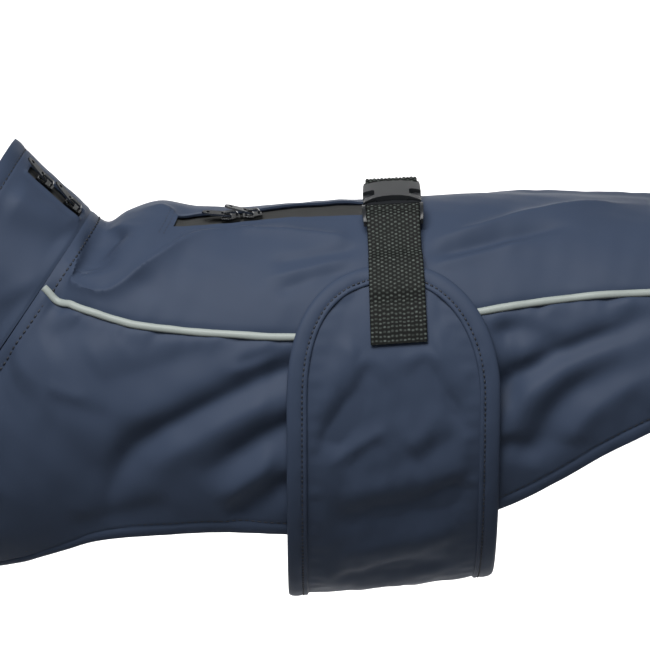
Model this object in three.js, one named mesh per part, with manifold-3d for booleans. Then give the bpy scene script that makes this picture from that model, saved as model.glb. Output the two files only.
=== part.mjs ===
// A dog's raincoat, filled out as when it is worn: a back, two sides, a standing collar, reflective piping,
// a belly flap with its edge facing, a webbing belt with a side-release buckle, and two zips with pull tabs.
// Millimetres, +Z up. The head end is -X, the tail end +X, and the coat's left side is -Y. The origin is on the
// inside of the back, under the belt, where the coat hangs from the back that carries it.
import * as THREE from "three";
import Module from "manifold-3d";

const wasm = await Module();
wasm.setup();

const CLOTH = 1.2; // wall of a coat panel
const SEAM_GAP = 0.3;
const BACK_LENGTH = 450; // neck seam to tail hem, along the back
const COLLAR_WALL = 1.6;
const FLAP_LIFT = 2.4; // flap's inside above the coat's inside, clear of the piping
const FACING_WIDTH = 10.7;
const FACING_WALL = 1.0;
const WEBBING = 1.5;
const WEBBING_WIDTH = 29; // at the buckle
const WEBBING_END_WIDTH = 30.5; // at its sewn end, where it lies flat
const PIPING_RADIUS = 1.85;
const BELT_X = -1;

// Cross sections of the body that the coat goes round, as ellipses in leaning planes. along is measured down
// the back from the neck seam. The low points give the chest and the belly, half is half the width.
const SECTIONS = [
  { along: 0, topX: -171, topZ: -6.5, lowX: -254, lowZ: -131, half: 62 },
  { along: 12, topX: -160, topZ: -13, lowX: -266, lowZ: -160, half: 68 },
  { along: 24, topX: -148, topZ: -6.5, lowX: -266, lowZ: -180, half: 72 },
  { along: 40, topX: -132, topZ: -1.5, lowX: -256, lowZ: -196, half: 76 },
  { along: 62, topX: -110, topZ: -4.5, lowX: -236, lowZ: -208, half: 80 },
  { along: 85, topX: -87, topZ: -5, lowX: -208, lowZ: -215, half: 82 },
  { along: 120, topX: -52, topZ: -2.5, lowX: -156, lowZ: -220, half: 85 },
  { along: 170, topX: -2, topZ: 0, lowX: -62, lowZ: -222, half: 86 },
  { along: 215, topX: 43, topZ: 2.5, lowX: 14, lowZ: -216, half: 86 },
  { along: 260, topX: 88, topZ: 2, lowX: 84, lowZ: -204, half: 85 },
  { along: 310, topX: 138, topZ: -0.5, lowX: 145, lowZ: -190, half: 84 },
  { along: 360, topX: 188, topZ: -3, lowX: 198, lowZ: -176, half: 82 },
  { along: 410, topX: 237, topZ: -12, lowX: 249, lowZ: -163, half: 77 },
  { along: BACK_LENGTH, topX: 274, topZ: -26, lowX: 286, lowZ: -154, half: 68 },
];

// Where the piping runs and where the lower hem is, in degrees round the section from the top of the back.
// The hem starts at the middle of the chest, at 180 degrees, and rises behind the forelegs.
const PIPING_LINE = [
  { along: 0, around: 62 },
  { along: 6, around: 57.5 },
  { along: 12, around: 55.5 },
  { along: 28, around: 58 },
  { along: 45, around: 60 },
  { along: 83, around: 60 },
  { along: 119, around: 62 },
  { along: 143, around: 63 },
  { along: 220, around: 58 },
  { along: 245, around: 56 },
  { along: 281, around: 54 },
  { along: 340, around: 53 },
  { along: BACK_LENGTH, around: 50 },
];
const HEM_LINE = [
  { along: 54, around: 180 },
  { along: 60, around: 168 },
  { along: 68, around: 156 },
  { along: 80, around: 143 },
  { along: 96, around: 131 },
  { along: 125, around: 124 },
  { along: 200, around: 124 },
  { along: 235, around: 121 },
  { along: 264, around: 112 },
  { along: 281, around: 106 },
  { along: 300, around: 101 },
  { along: 330, around: 95 },
  { along: 370, around: 90 },
  { along: 410, around: 86 },
  { along: 430, around: 81 },
  { along: 443, around: 74 },
  { along: BACK_LENGTH, around: 62 },
];

// The leash zip's opening in the back, between an upper and a lower lip.
const LEASH_SLOT = [
  { along: 54, upper: 15, lower: 21 },
  { along: 70, upper: 9.5, lower: 18 },
  { along: 85, upper: 7, lower: 16.5 },
  { along: 103, upper: 5, lower: 15.5 },
  { along: 135, upper: 3, lower: 15 },
  { along: 156, upper: 2.5, lower: 15.5 },
  { along: 172, upper: 3, lower: 15 },
];
const TAPE_WALL = 0.8;
const TAPE_GAP = 0.5; // between the tape and the inside of the cloth
const TAPE_MARGIN = 2; // degrees under each lip
const TAPE_PAST = 4; // past each end of the slot

// Stations down the back, closer over the neck hollow and at the ends of the slot.
const STATIONS = [
  0.3, 3, 6, 9, 12, 18, 24, 32, 40, 46, 51, 54, 62, 70, 77.5, 85, 94, 103, 114, 124.5, 135, 145.5, 156, 164, 172, 176, 185, 195,
  205, 216, 227, 238, 249, 260, 272, 284, 297, 312, 328, 345, 362, 380, 398, 415, 430, 442, BACK_LENGTH,
];

// Folds in the cloth. height is positive for a ridge and negative for a trough, reach is its half width, and
// the path gives x in mm and degrees round the section. Positive degrees are the left side.
const LEFT_FOLDS = [
  { name: "neck hollow", height: -6.5, reach: 11, x: [-156, -159, -162, -157], around: [20, 33, 42, 48] },
  { name: "neck ridge", height: 3, reach: 6.5, x: [-170, -174, -168, -145, -119, -91], around: [30, 44, 52, 46, 31, 20] },
  { name: "ridge under zip", height: 1.4, reach: 5, x: [-91, -65, -44, -24], around: [20, 23, 25, 28] },
  { name: "shoulder dip", height: -3, reach: 9, x: [-103, -127, -143, -168], around: [66, 71, 75, 81] },
  { name: "upper shoulder ridge", height: 3.2, reach: 9, x: [-62, -90, -111, -154], around: [65, 72, 80, 85] },
  { name: "upper flap trough", height: -6.5, reach: 8.5, x: [-50, -73, -105, -144, -160], around: [71, 72, 82, 93, 104] },
  { name: "lower shoulder ridge", height: 3, reach: 8, x: [-62, -79, -98, -135], around: [81, 86, 94, 104] },
  { name: "lower flap trough", height: -6.5, reach: 8, x: [-50, -70, -100, -118], around: [88, 90, 101, 110] },
  { name: "hem ridge", height: 2.5, reach: 7, x: [-62, -76, -98], around: [98, 104, 115] },
  { name: "ridge to tail", height: 1.6, reach: 6, x: [18, 45, 86, 130], around: [31, 23, 14, 5] },
  { name: "dip to tail", height: -2.2, reach: 8, x: [18, 46, 79, 115], around: [39, 32, 27, 21] },
  { name: "dip under piping", height: -2, reach: 6, x: [47, 61, 74, 90], around: [68, 65, 66, 65] },
  { name: "flank ridge", height: 2.4, reach: 8, x: [54, 66, 87, 120], around: [76, 74, 71, 62] },
  { name: "flank trough", height: -6, reach: 8, x: [46, 66, 96, 140], around: [85, 83, 76, 66] },
  { name: "second flank ridge", height: 3, reach: 8.5, x: [56, 71, 95, 150], around: [88, 86, 82, 76] },
  { name: "second flank trough", height: -5, reach: 9, x: [76, 83, 97, 140], around: [110, 101, 94, 86] },
  { name: "haunch ridge", height: 2.4, reach: 10, x: [130, 165, 205], around: [92, 80, 66] },
  { name: "haunch dip", height: -2.6, reach: 11, x: [165, 200, 240], around: [84, 72, 60] },
  { name: "chest dip", height: -3, reach: 11, x: [-200, -215, -226], around: [82, 100, 122] },
  { name: "chest ridge", height: 2, reach: 10, x: [-212, -232, -243], around: [92, 116, 138] },
];
const RIGHT_FOLDS = [
  { name: "neck hollow", height: -5.5, reach: 11, x: [-154, -158, -163, -160], around: [18, 30, 40, 46] },
  { name: "neck ridge", height: 2.6, reach: 7, x: [-172, -173, -163, -140, -112, -84], around: [32, 43, 50, 43, 33, 26] },
  { name: "back ridge to tail", height: 4, reach: 9, x: [45, 95, 150, 205], around: [16, 18, 16, 11] },
  { name: "shoulder dip", height: -3.2, reach: 10, x: [-96, -120, -146, -172], around: [67, 73, 77, 84] },
  { name: "upper shoulder ridge", height: 3, reach: 9, x: [-64, -86, -115, -150], around: [67, 75, 81, 88] },
  { name: "upper flap trough", height: -5.5, reach: 9, x: [-50, -76, -110, -138], around: [74, 78, 86, 97] },
  { name: "lower shoulder ridge", height: 2.6, reach: 8, x: [-63, -84, -108, -140], around: [86, 91, 98, 110] },
  { name: "lower flap trough", height: -5, reach: 8, x: [-50, -72, -96], around: [95, 98, 108] },
  { name: "dip to tail", height: -2, reach: 9, x: [18, 50, 84, 120], around: [42, 37, 31, 27] },
  { name: "flank trough", height: -5.5, reach: 9, x: [46, 70, 104, 146], around: [82, 79, 73, 66] },
  { name: "flank ridge", height: 2.8, reach: 9, x: [56, 78, 108, 150], around: [90, 87, 82, 77] },
  { name: "second flank trough", height: -4, reach: 9, x: [62, 84, 112, 150], around: [108, 100, 93, 87] },
  { name: "haunch ridge", height: 2.6, reach: 11, x: [140, 176, 214], around: [88, 78, 67] },
  { name: "haunch dip", height: -2.4, reach: 11, x: [170, 206, 246], around: [82, 69, 58] },
  { name: "chest dip", height: -2.6, reach: 11, x: [-198, -217, -229], around: [84, 104, 126] },
  { name: "chest ridge", height: 2.2, reach: 10, x: [-210, -230, -244], around: [96, 118, 136] },
];
const MM_PER_DEGREE = 1.7; // girth of one degree round the section, for the width of a fold
const FOLD_STEPS = 18;
const SEAM_FLAT = 9; // folds fade out towards the neck seam over this length
const PIPING_HOLD = 5; // degrees beside the piping in which its cord keeps the cloth straighter

// Small helpers.
const vec = (x, y, z) => new THREE.Vector3(x, y, z);
const smooth = (t) => {
  const s = Math.min(Math.max(t, 0), 1);
  return s * s * (3 - 2 * s);
};
const spread = (from, to, steps) => Array.from({ length: steps + 1 }, (_, i) => from + ((to - from) * i) / steps);

// A smooth curve through the rows of a table: cubic pieces whose slopes are the mean of the slopes beside them.
function through(rows, key, column, at) {
  const last = rows.length - 1;
  const x = Math.min(Math.max(at, rows[0][key]), rows[last][key]);
  const step = (i) => rows[i + 1][key] - rows[i][key];
  const slope = (i) => (rows[i + 1][column] - rows[i][column]) / step(i);
  const tangent = (i) => {
    if (i === 0) return slope(0);
    if (i === last) return slope(last - 1);
    return (slope(i - 1) * step(i) + slope(i) * step(i - 1)) / (step(i) + step(i - 1));
  };
  let i = 0;
  while (i < last - 1 && x >= rows[i + 1][key]) i += 1;
  const h = step(i);
  const t = (x - rows[i][key]) / h;
  const from = rows[i][column] * (1 + 2 * t) * (1 - t) ** 2 + tangent(i) * h * t * (1 - t) ** 2;
  return from + rows[i + 1][column] * t * t * (3 - 2 * t) + tangent(i + 1) * h * t * t * (t - 1);
}

// The inside of the cloth with no folds: an ellipse from the back's point to the low point of the section.
function bodyPoint(along, around) {
  const q = THREE.MathUtils.degToRad(around);
  const down = (1 - Math.cos(q)) / 2;
  const at = (column) => through(SECTIONS, "along", column, along);
  const x = at("topX") + (at("lowX") - at("topX")) * down;
  const z = at("topZ") + (at("lowZ") - at("topZ")) * down;
  return vec(x, -at("half") * Math.sin(q), z);
}

function outward(along, around) {
  const da = bodyPoint(along + 0.5, around).sub(bodyPoint(along - 0.5, around));
  const dq = bodyPoint(along, around + 0.5).sub(bodyPoint(along, around - 0.5));
  return dq.cross(da).normalize();
}

// The station where the section reaches x at this angle, by halving.
function alongAt(x, around) {
  let low = 0;
  let high = BACK_LENGTH;
  for (let i = 0; i < 24; i += 1) {
    const mid = (low + high) / 2;
    if (bodyPoint(mid, around).x < x) low = mid;
    else high = mid;
  }
  return (low + high) / 2;
}

// Girth from the middle of the back down the side under the belt, and the angle at a girth.
const GIRTH_STEP = 2;
const GIRTHS = [{ around: 0, girth: 0 }];
for (let around = GIRTH_STEP; around <= 180; around += GIRTH_STEP) {
  const before = GIRTHS[GIRTHS.length - 1];
  const here = bodyPoint(alongAt(BELT_X, around), around);
  const there = bodyPoint(alongAt(BELT_X, before.around), before.around);
  GIRTHS.push({ around, girth: before.girth + here.distanceTo(there) });
}
const HALF_GIRTH = GIRTHS[GIRTHS.length - 1].girth;
const girthAt = (around) => Math.sign(around) * through(GIRTHS, "around", "girth", Math.abs(around));
const aroundAt = (girth) => Math.sign(girth) * through(GIRTHS, "girth", "around", Math.abs(girth));

// The belly flap's outline: straight sides and a round end on each flank. Its front shoulder is squarer.
const FLAP_TOP = girthAt(41); // girth of the round end's top
const FLAP_ROUND = 75; // girth over which the end rounds off
const FLAP_FRONT = { reach: 57.5, power: 2.4 };
const FLAP_REAR = { reach: 57, power: 2 };
const FLAP_X = -1.5;

function flapReach(side, girth) {
  const below = Math.min(Math.abs(girth), 2 * HALF_GIRTH - Math.abs(girth)) - FLAP_TOP;
  const share = Math.min(Math.max(below / FLAP_ROUND, 0), 1);
  return side.reach * (1 - (1 - share) ** side.power) ** (1 / side.power);
}

// How far a point of the coat lies outside the belt and the flap that press on it.
function outsideBelt(x, around) {
  const girth = girthAt(around);
  const front = FLAP_X - Math.max(flapReach(FLAP_FRONT, girth), WEBBING_END_WIDTH / 2);
  const rear = FLAP_X + Math.max(flapReach(FLAP_REAR, girth), WEBBING_END_WIDTH / 2);
  return Math.max(front - x, x - rear);
}

function foldPath(fold) {
  const rows = fold.x.map((x, i) => ({ t: i / (fold.x.length - 1), x, around: fold.around[i] }));
  return spread(0, 1, FOLD_STEPS).map((t) => ({
    t,
    x: through(rows, "t", "x", t),
    down: through(rows, "t", "around", t) * MM_PER_DEGREE,
  }));
}
const PATHS = new Map([...LEFT_FOLDS, ...RIGHT_FOLDS].map((fold) => [fold, foldPath(fold)]));

// The height of all folds at a point: each is a bell across its path and fades out at its ends.
function foldHeight(along, x, around) {
  const outside = outsideBelt(x, around);
  const ridgesLeft = smooth((outside - 2) / 14);
  const troughsLeft = smooth((outside + 16) / 16);
  let height = 0;
  for (const fold of around >= 0 ? LEFT_FOLDS : RIGHT_FOLDS) {
    let near = Infinity;
    let where = 0;
    for (const p of PATHS.get(fold)) {
      const away = Math.hypot(x - p.x, Math.abs(around) * MM_PER_DEGREE - p.down);
      if (away < near) [near, where] = [away, p.t];
    }
    const ends = smooth(where / 0.25 + 0.15) * smooth((1 - where) / 0.35 + 0.1);
    const left = fold.height > 0 ? ridgesLeft : troughsLeft;
    height += fold.height * Math.exp(-((near / fold.reach) ** 2)) * ends * left;
  }
  const fromPiping = (Math.abs(around) - through(PIPING_LINE, "along", "around", along)) / PIPING_HOLD;
  const held = 1 - 0.65 * Math.exp(-(fromPiping ** 2));
  return height * held * smooth(Math.abs(around) / 4) * smooth(along / SEAM_FLAT);
}

// A point of the coat's cloth, lifted off its inside.
function coatPoint(along, around, lift) {
  const point = bodyPoint(along, around);
  return point.addScaledVector(outward(along, around), lift + foldHeight(along, point.x, around));
}

// A point over the coat by x and girth, with no folds. Girth past the middle of the belly comes up the right side.
function beltPoint(x, girth, lift) {
  const wrapped = girth > HALF_GIRTH ? girth - 2 * HALF_GIRTH : girth;
  const around = aroundAt(wrapped);
  const along = alongAt(x, around);
  return bodyPoint(along, around).addScaledVector(outward(along, around), lift);
}

// A wall between an inner and an outer grid of points. Cells that kept() refuses are left open.
function wall(inner, outer, options = {}) {
  const { ring = false, kept = () => true } = options;
  const rows = inner.length;
  const columns = inner[0].length;
  const cellsAcross = ring ? columns : columns - 1;
  const positions = [];
  for (const grid of [inner, outer]) {
    for (const row of grid) row.forEach((p) => positions.push(p.x, p.y, p.z));
  }
  const id = (layer, i, j) => layer * rows * columns + i * columns + (j % columns);
  const isKept = (i, j) => {
    if (i < 0 || i >= rows - 1) return false;
    if (ring) return kept(i, (j + cellsAcross) % cellsAcross);
    return j >= 0 && j < cellsAcross && kept(i, j);
  };
  const faces = [];
  const quad = (a, b, c, d) => faces.push(a, b, c, a, c, d);
  for (let i = 0; i < rows - 1; i += 1) {
    for (let j = 0; j < cellsAcross; j += 1) {
      if (!isKept(i, j)) continue;
      quad(id(1, i, j), id(1, i + 1, j), id(1, i + 1, j + 1), id(1, i, j + 1));
      quad(id(0, i, j), id(0, i, j + 1), id(0, i + 1, j + 1), id(0, i + 1, j));
      if (!isKept(i - 1, j)) quad(id(1, i, j + 1), id(0, i, j + 1), id(0, i, j), id(1, i, j));
      if (!isKept(i + 1, j)) quad(id(1, i + 1, j), id(0, i + 1, j), id(0, i + 1, j + 1), id(1, i + 1, j + 1));
      if (!isKept(i, j - 1)) quad(id(1, i, j), id(0, i, j), id(0, i + 1, j), id(1, i + 1, j));
      if (!isKept(i, j + 1)) quad(id(1, i + 1, j + 1), id(0, i + 1, j + 1), id(0, i, j + 1), id(1, i, j + 1));
    }
  }
  const used = [...new Set(faces)].sort((a, b) => a - b);
  const renumber = new Map(used.map((old, i) => [old, i]));
  const geometry = new THREE.BufferGeometry();
  const corners = used.flatMap((old) => positions.slice(old * 3, old * 3 + 3));
  geometry.setAttribute("position", new THREE.Float32BufferAttribute(corners, 3));
  geometry.setIndex(faces.map((old) => renumber.get(old)));
  return facingOut(geometry);
}

// Turns the faces round where the geometry's volume comes out negative.
function facingOut(geometry) {
  const p = geometry.getAttribute("position");
  const index = geometry.getIndex().array;
  const corner = (i) => vec(p.getX(index[i]), p.getY(index[i]), p.getZ(index[i]));
  let volume = 0;
  for (let i = 0; i < index.length; i += 3) {
    volume += corner(i).dot(corner(i + 1).cross(corner(i + 2)));
  }
  if (volume < 0) {
    for (let i = 0; i < index.length; i += 3) [index[i], index[i + 1]] = [index[i + 1], index[i]];
  }
  geometry.computeVertexNormals();
  return geometry;
}

// Closed geometry to a solid for cutting and joining, and back.
function toSolid(geometry) {
  const source = geometry.index ? geometry.toNonIndexed() : geometry;
  const points = source.getAttribute("position");
  const seen = new Map();
  const vertProperties = [];
  const triVerts = [];
  for (let i = 0; i < points.count; i += 1) {
    const at = [points.getX(i), points.getY(i), points.getZ(i)];
    const key = at.map((value) => Math.round(value * 1e4)).join(",");
    if (!seen.has(key)) {
      seen.set(key, seen.size);
      vertProperties.push(...at);
    }
    triVerts.push(seen.get(key));
  }
  const data = { numProp: 3, vertProperties: new Float32Array(vertProperties), triVerts: new Uint32Array(triVerts) };
  return new wasm.Manifold(new wasm.Mesh(data));
}

function fromSolid(solid) {
  const mesh = solid.getMesh();
  const geometry = new THREE.BufferGeometry();
  geometry.setAttribute("position", new THREE.BufferAttribute(new Float32Array(mesh.vertProperties), 3));
  geometry.setIndex(new THREE.BufferAttribute(new Uint32Array(mesh.triVerts), 1));
  geometry.computeVertexNormals();
  return geometry;
}

// A flat outline drawn in x and y, made into a plate from one height to another.
function plate(outline, fromZ, toZ) {
  const shape = new THREE.Shape(outline.map(([x, y]) => new THREE.Vector2(x, y)));
  const geometry = new THREE.ExtrudeGeometry(shape, { depth: toZ - fromZ, bevelEnabled: false });
  return toSolid(geometry.translate(0, 0, fromZ));
}

function block(fromX, toX, fromY, toY, fromZ, toZ) {
  const geometry = new THREE.BoxGeometry(toX - fromX, toY - fromY, toZ - fromZ);
  return toSolid(geometry.translate((fromX + toX) / 2, (fromY + toY) / 2, (fromZ + toZ) / 2));
}

// A bar along x or y with a drawn section, for domed and arched pieces. The section gives [across, z] points.
function barAlongY(section, fromY, toY) {
  const shape = new THREE.Shape(section.map(([x, z]) => new THREE.Vector2(x, z)));
  const geometry = new THREE.ExtrudeGeometry(shape, { depth: toY - fromY, bevelEnabled: false });
  return toSolid(geometry.rotateX(Math.PI / 2).translate(0, toY, 0));
}

function barAlongX(section, fromX, toX) {
  const shape = new THREE.Shape(section.map(([y, z]) => new THREE.Vector2(y, z)));
  const geometry = new THREE.ExtrudeGeometry(shape, { depth: toX - fromX, bevelEnabled: false });
  const turn = new THREE.Matrix4().set(0, 0, 1, fromX, 1, 0, 0, 0, 0, 1, 0, 0, 0, 0, 0, 1);
  return toSolid(geometry.applyMatrix4(turn));
}

const MATERIALS = {
  cloth: new THREE.MeshStandardMaterial({ color: 0x3d4760, roughness: 0.55, side: THREE.DoubleSide }),
  facing: new THREE.MeshStandardMaterial({ color: 0x424c66, roughness: 0.55 }),
  piping: new THREE.MeshStandardMaterial({ color: 0xa6b0ae, roughness: 0.4 }),
  webbing: new THREE.MeshStandardMaterial({ color: 0x2c2f2d, roughness: 0.9 }),
  plastic: new THREE.MeshStandardMaterial({ color: 0x2b2d30, roughness: 0.45 }),
  tape: new THREE.MeshStandardMaterial({ color: 0x4b4a48, roughness: 0.6 }),
  metal: new THREE.MeshStandardMaterial({ color: 0x8f9496, roughness: 0.35, metalness: 1 }),
};

const coat = new THREE.Group();
function add(name, geometry, material, parent = coat) {
  const mesh = new THREE.Mesh(geometry, material.clone());
  mesh.name = name;
  parent.add(mesh);
  return mesh;
}

const lineAt = (table, along) => through(table, "along", "around", along);

// Degrees round the section from a seam line to a point that lies a length of cloth beside it.
function degreesBeside(table, along, length) {
  const around = lineAt(table, along);
  const run = bodyPoint(along + 0.5, lineAt(table, along + 0.5));
  run.sub(bodyPoint(along - 0.5, lineAt(table, along - 0.5))).normalize();
  const round = bodyPoint(along, around + 0.5).sub(bodyPoint(along, around - 0.5));
  return length / round.cross(run).length();
}
const PANEL_INSET = PIPING_RADIUS + 0.35; // each panel stops short of the piping's middle

// Grid of a panel from its lines: rows down the back, columns round the section.
function panelGrid(stations, linesAt, lift) {
  return stations.map((along) => linesAt(along).map((around) => coatPoint(along, around, lift)));
}

// Back, cut open between the zip's lips.
const LEFT_CELLS = 6;
const SLOT_CELLS = 2;
const RIGHT_CELLS = 9;
const slotAt = (column, along) => through(LEASH_SLOT, "along", column, along);
function backLines(along) {
  const piping = lineAt(PIPING_LINE, along);
  const edge = piping - degreesBeside(PIPING_LINE, along, PANEL_INSET);
  const right = spread(-edge, slotAt("upper", along), RIGHT_CELLS);
  const slot = spread(slotAt("upper", along), slotAt("lower", along), SLOT_CELLS);
  const left = spread(slotAt("lower", along), edge, LEFT_CELLS);
  return [...right, ...slot.slice(1), ...left.slice(1)];
}
const slotStart = LEASH_SLOT[0].along;
const slotEnd = LEASH_SLOT[LEASH_SLOT.length - 1].along;
function buildBack() {
  const kept = (i, j) => {
    const inSlot = j >= RIGHT_CELLS && j < RIGHT_CELLS + SLOT_CELLS;
    return !inSlot || STATIONS[i] < slotStart || STATIONS[i] >= slotEnd;
  };
  const inner = panelGrid(STATIONS, backLines, 0);
  const outer = panelGrid(STATIONS, backLines, CLOTH);
  add("back_panel", wall(inner, outer, { kept }), MATERIALS.cloth);
}

// Sides, from the piping to the hem. In front they meet in a seam at the middle of the chest.
const SIDE_CELLS = 11;
const CHEST_SEAM = 0.15; // degrees that each side stops short of the middle of the chest
function sideLines(side) {
  return (along) => {
    const piping = lineAt(PIPING_LINE, along);
    const top = piping + degreesBeside(PIPING_LINE, along, PANEL_INSET);
    const low = lineAt(HEM_LINE, along) - CHEST_SEAM;
    return spread(top, low, SIDE_CELLS).map((around) => side * around);
  };
}
function buildSides() {
  for (const [name, side] of [["left_side", 1], ["right_side", -1]]) {
    const inner = panelGrid(STATIONS, sideLines(side), 0);
    const outer = panelGrid(STATIONS, sideLines(side), CLOTH);
    add(name, wall(inner, outer), MATERIALS.cloth);
  }
}

// Piping: a round cord in each seam between back and side.
const PIPING_SIDES = 6;
const PIPING_START = 2.2; // clear of the collar's foot
function buildPiping() {
  for (const [name, side] of [["left_piping", 1], ["right_piping", -1]]) {
    const rows = [PIPING_START, ...STATIONS.slice(1)].map((along) => {
      const around = side * lineAt(PIPING_LINE, along);
      const centre = coatPoint(along, around, CLOTH / 2);
      const up = outward(along, around);
      const ahead = coatPoint(along + 1, side * lineAt(PIPING_LINE, along + 1), CLOTH / 2);
      const behind = coatPoint(along - 1, side * lineAt(PIPING_LINE, along - 1), CLOTH / 2);
      const across = ahead.sub(behind).normalize().cross(up).normalize();
      return spread(0, 2 * Math.PI, PIPING_SIDES)
        .slice(1)
        .map((turn) =>
          centre
            .clone()
            .addScaledVector(across, PIPING_RADIUS * Math.cos(turn))
            .addScaledVector(up, 0.75 * PIPING_RADIUS * Math.sin(turn)),
        );
    });
    add(name, rod(rows), MATERIALS.piping);
  }
}

// A closed rod from rings of points, with a flat cap at each end.
function rod(rows) {
  const count = rows[0].length;
  const positions = rows.flat().flatMap((p) => [p.x, p.y, p.z]);
  const faces = [];
  for (let i = 0; i < rows.length - 1; i += 1) {
    for (let j = 0; j < count; j += 1) {
      const [a, b] = [i * count + j, i * count + ((j + 1) % count)];
      faces.push(a, b, b + count, a, b + count, a + count);
    }
  }
  const far = (rows.length - 1) * count;
  for (let j = 1; j < count - 1; j += 1) faces.push(0, j + 1, j, far, far + j, far + j + 1);
  const geometry = new THREE.BufferGeometry();
  geometry.setAttribute("position", new THREE.Float32BufferAttribute(positions, 3));
  geometry.setIndex(faces);
  return facingOut(geometry);
}

// Collar: a ring that stands up from the neck seam along the neck.
const COLLAR_TOP = { height: 58, ahead: -0.727, up: 0.686 };
const COLLAR_LOW = { height: 50, ahead: -0.86, up: 0.51 };
const COLLAR_RINGS = [0, 0.03, 0.06, 0.16, 0.3, 0.5, 0.72, 0.78, 1];
const COLLAR_TAPER = 0.08; // the top ring is this much narrower
const COLLAR_CELLS = 28;
const COLLAR_FOLDS = [
  { height: 2.4, reach: 0.1, share: [0.02, 0.22, 0.62], around: [20, 27, 36] },
  { height: -2.4, reach: 0.12, share: [0.02, 0.3, 0.7], around: [34, 44, 52] },
  { height: 2, reach: 0.12, share: [0.05, 0.4, 0.8], around: [-30, -38, -48] },
  { height: -2, reach: 0.12, share: [0.1, 0.5, 0.9], around: [-60, -70, -78] },
  { height: -2.2, reach: 0.14, share: [0.1, 0.5, 0.9], around: [88, 96, 104] },
];
const COLLAR_DEGREES = 90; // degrees round the neck that count as one collar height, for the width of a fold

function collarFold(share, around) {
  return COLLAR_FOLDS.reduce((sum, fold) => {
    const rows = fold.share.map((value, i) => ({ t: i / 2, share: value, around: fold.around[i] }));
    const away = spread(0, 1, 12).map((t) =>
      Math.hypot(share - through(rows, "t", "share", t), (around - through(rows, "t", "around", t)) / COLLAR_DEGREES),
    );
    return sum + fold.height * Math.exp(-((Math.min(...away) / fold.reach) ** 2));
  }, 0);
}

// The collar's foot stands clear of the panels, more at the chest, where they meet it square.
const COLLAR_FOOT = { top: 0.007, low: 0.058 };

// fromFoot runs from 0 at the collar's foot to 1 at its edge.
function collarPoint(fromFoot, around, lift) {
  const foot = COLLAR_FOOT.top + (COLLAR_FOOT.low - COLLAR_FOOT.top) * smooth(Math.abs(around) / 180);
  const share = foot + (1 - foot) * fromFoot;
  const blend = (1 - Math.cos(THREE.MathUtils.degToRad(around))) / 2;
  const seam = bodyPoint(0, around);
  const mix = (key) => COLLAR_TOP[key] + (COLLAR_LOW[key] - COLLAR_TOP[key]) * blend;
  const rise = vec(mix("ahead"), 0, mix("up")).normalize();
  const point = seam.clone().addScaledVector(rise, share * mix("height"));
  point.y *= 1 - COLLAR_TAPER * share;
  const round = bodyPoint(0, around + 0.5).sub(bodyPoint(0, around - 0.5));
  const out = round.cross(rise).normalize().negate();
  const fold = collarFold(share, around) * smooth(share / 0.15);
  return point.addScaledVector(out, lift + fold);
}

const COLLAR_SLOT = { from: 0.06, to: 0.72, upper: 8.5, lower: 19.5 };
function collarLines() {
  const { upper, lower } = COLLAR_SLOT;
  const slot = [upper - TAPE_MARGIN, upper, lower, lower + TAPE_MARGIN];
  const rest = spread(slot[3], slot[0] + 360, COLLAR_CELLS - 3).slice(1, -1);
  return [...slot, ...rest].map((around) => (around > 180 ? around - 360 : around));
}
function buildCollar() {
  const lines = collarLines();
  const inSlot = (i) => COLLAR_RINGS[i] >= COLLAR_SLOT.from && COLLAR_RINGS[i] < COLLAR_SLOT.to;
  const kept = (i, j) => j !== 1 || !inSlot(i);
  const grid = (lift) => COLLAR_RINGS.map((share) => lines.map((around) => collarPoint(share, around, lift)));
  add("collar", wall(grid(0), grid(COLLAR_WALL), { ring: true, kept }), MATERIALS.cloth);
}

// Belly flap: one piece that passes under the belly and comes up both flanks to round ends.
const FLAP_CELLS = 10;
const FLAP_END_GIRTHS = [0.4, 3, 8, 15, 24, 34, 45, 55, 65];
const FLAP_MIDDLE_CELLS = 18;
const flapEdge = (side, girth) => flapReach(side, girth) * (side === FLAP_FRONT ? -1 : 1);
const flapMiddle = () => spread(FLAP_TOP + FLAP_ROUND, 2 * HALF_GIRTH - FLAP_TOP - FLAP_ROUND, FLAP_MIDDLE_CELLS);
function flapGirths() {
  const end = FLAP_END_GIRTHS.map((below) => FLAP_TOP + below);
  return [...end, ...flapMiddle(), ...end.map((girth) => 2 * HALF_GIRTH - girth).reverse()];
}
function buildFlap() {
  const grid = (lift) =>
    flapGirths().map((girth) =>
      spread(FLAP_X + flapEdge(FLAP_FRONT, girth), FLAP_X + flapEdge(FLAP_REAR, girth), FLAP_CELLS).map((x) =>
        beltPoint(x, girth, lift),
      ),
    );
  add("belly_flap", wall(grid(FLAP_LIFT), grid(FLAP_LIFT + CLOTH)), MATERIALS.cloth);
}

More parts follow.
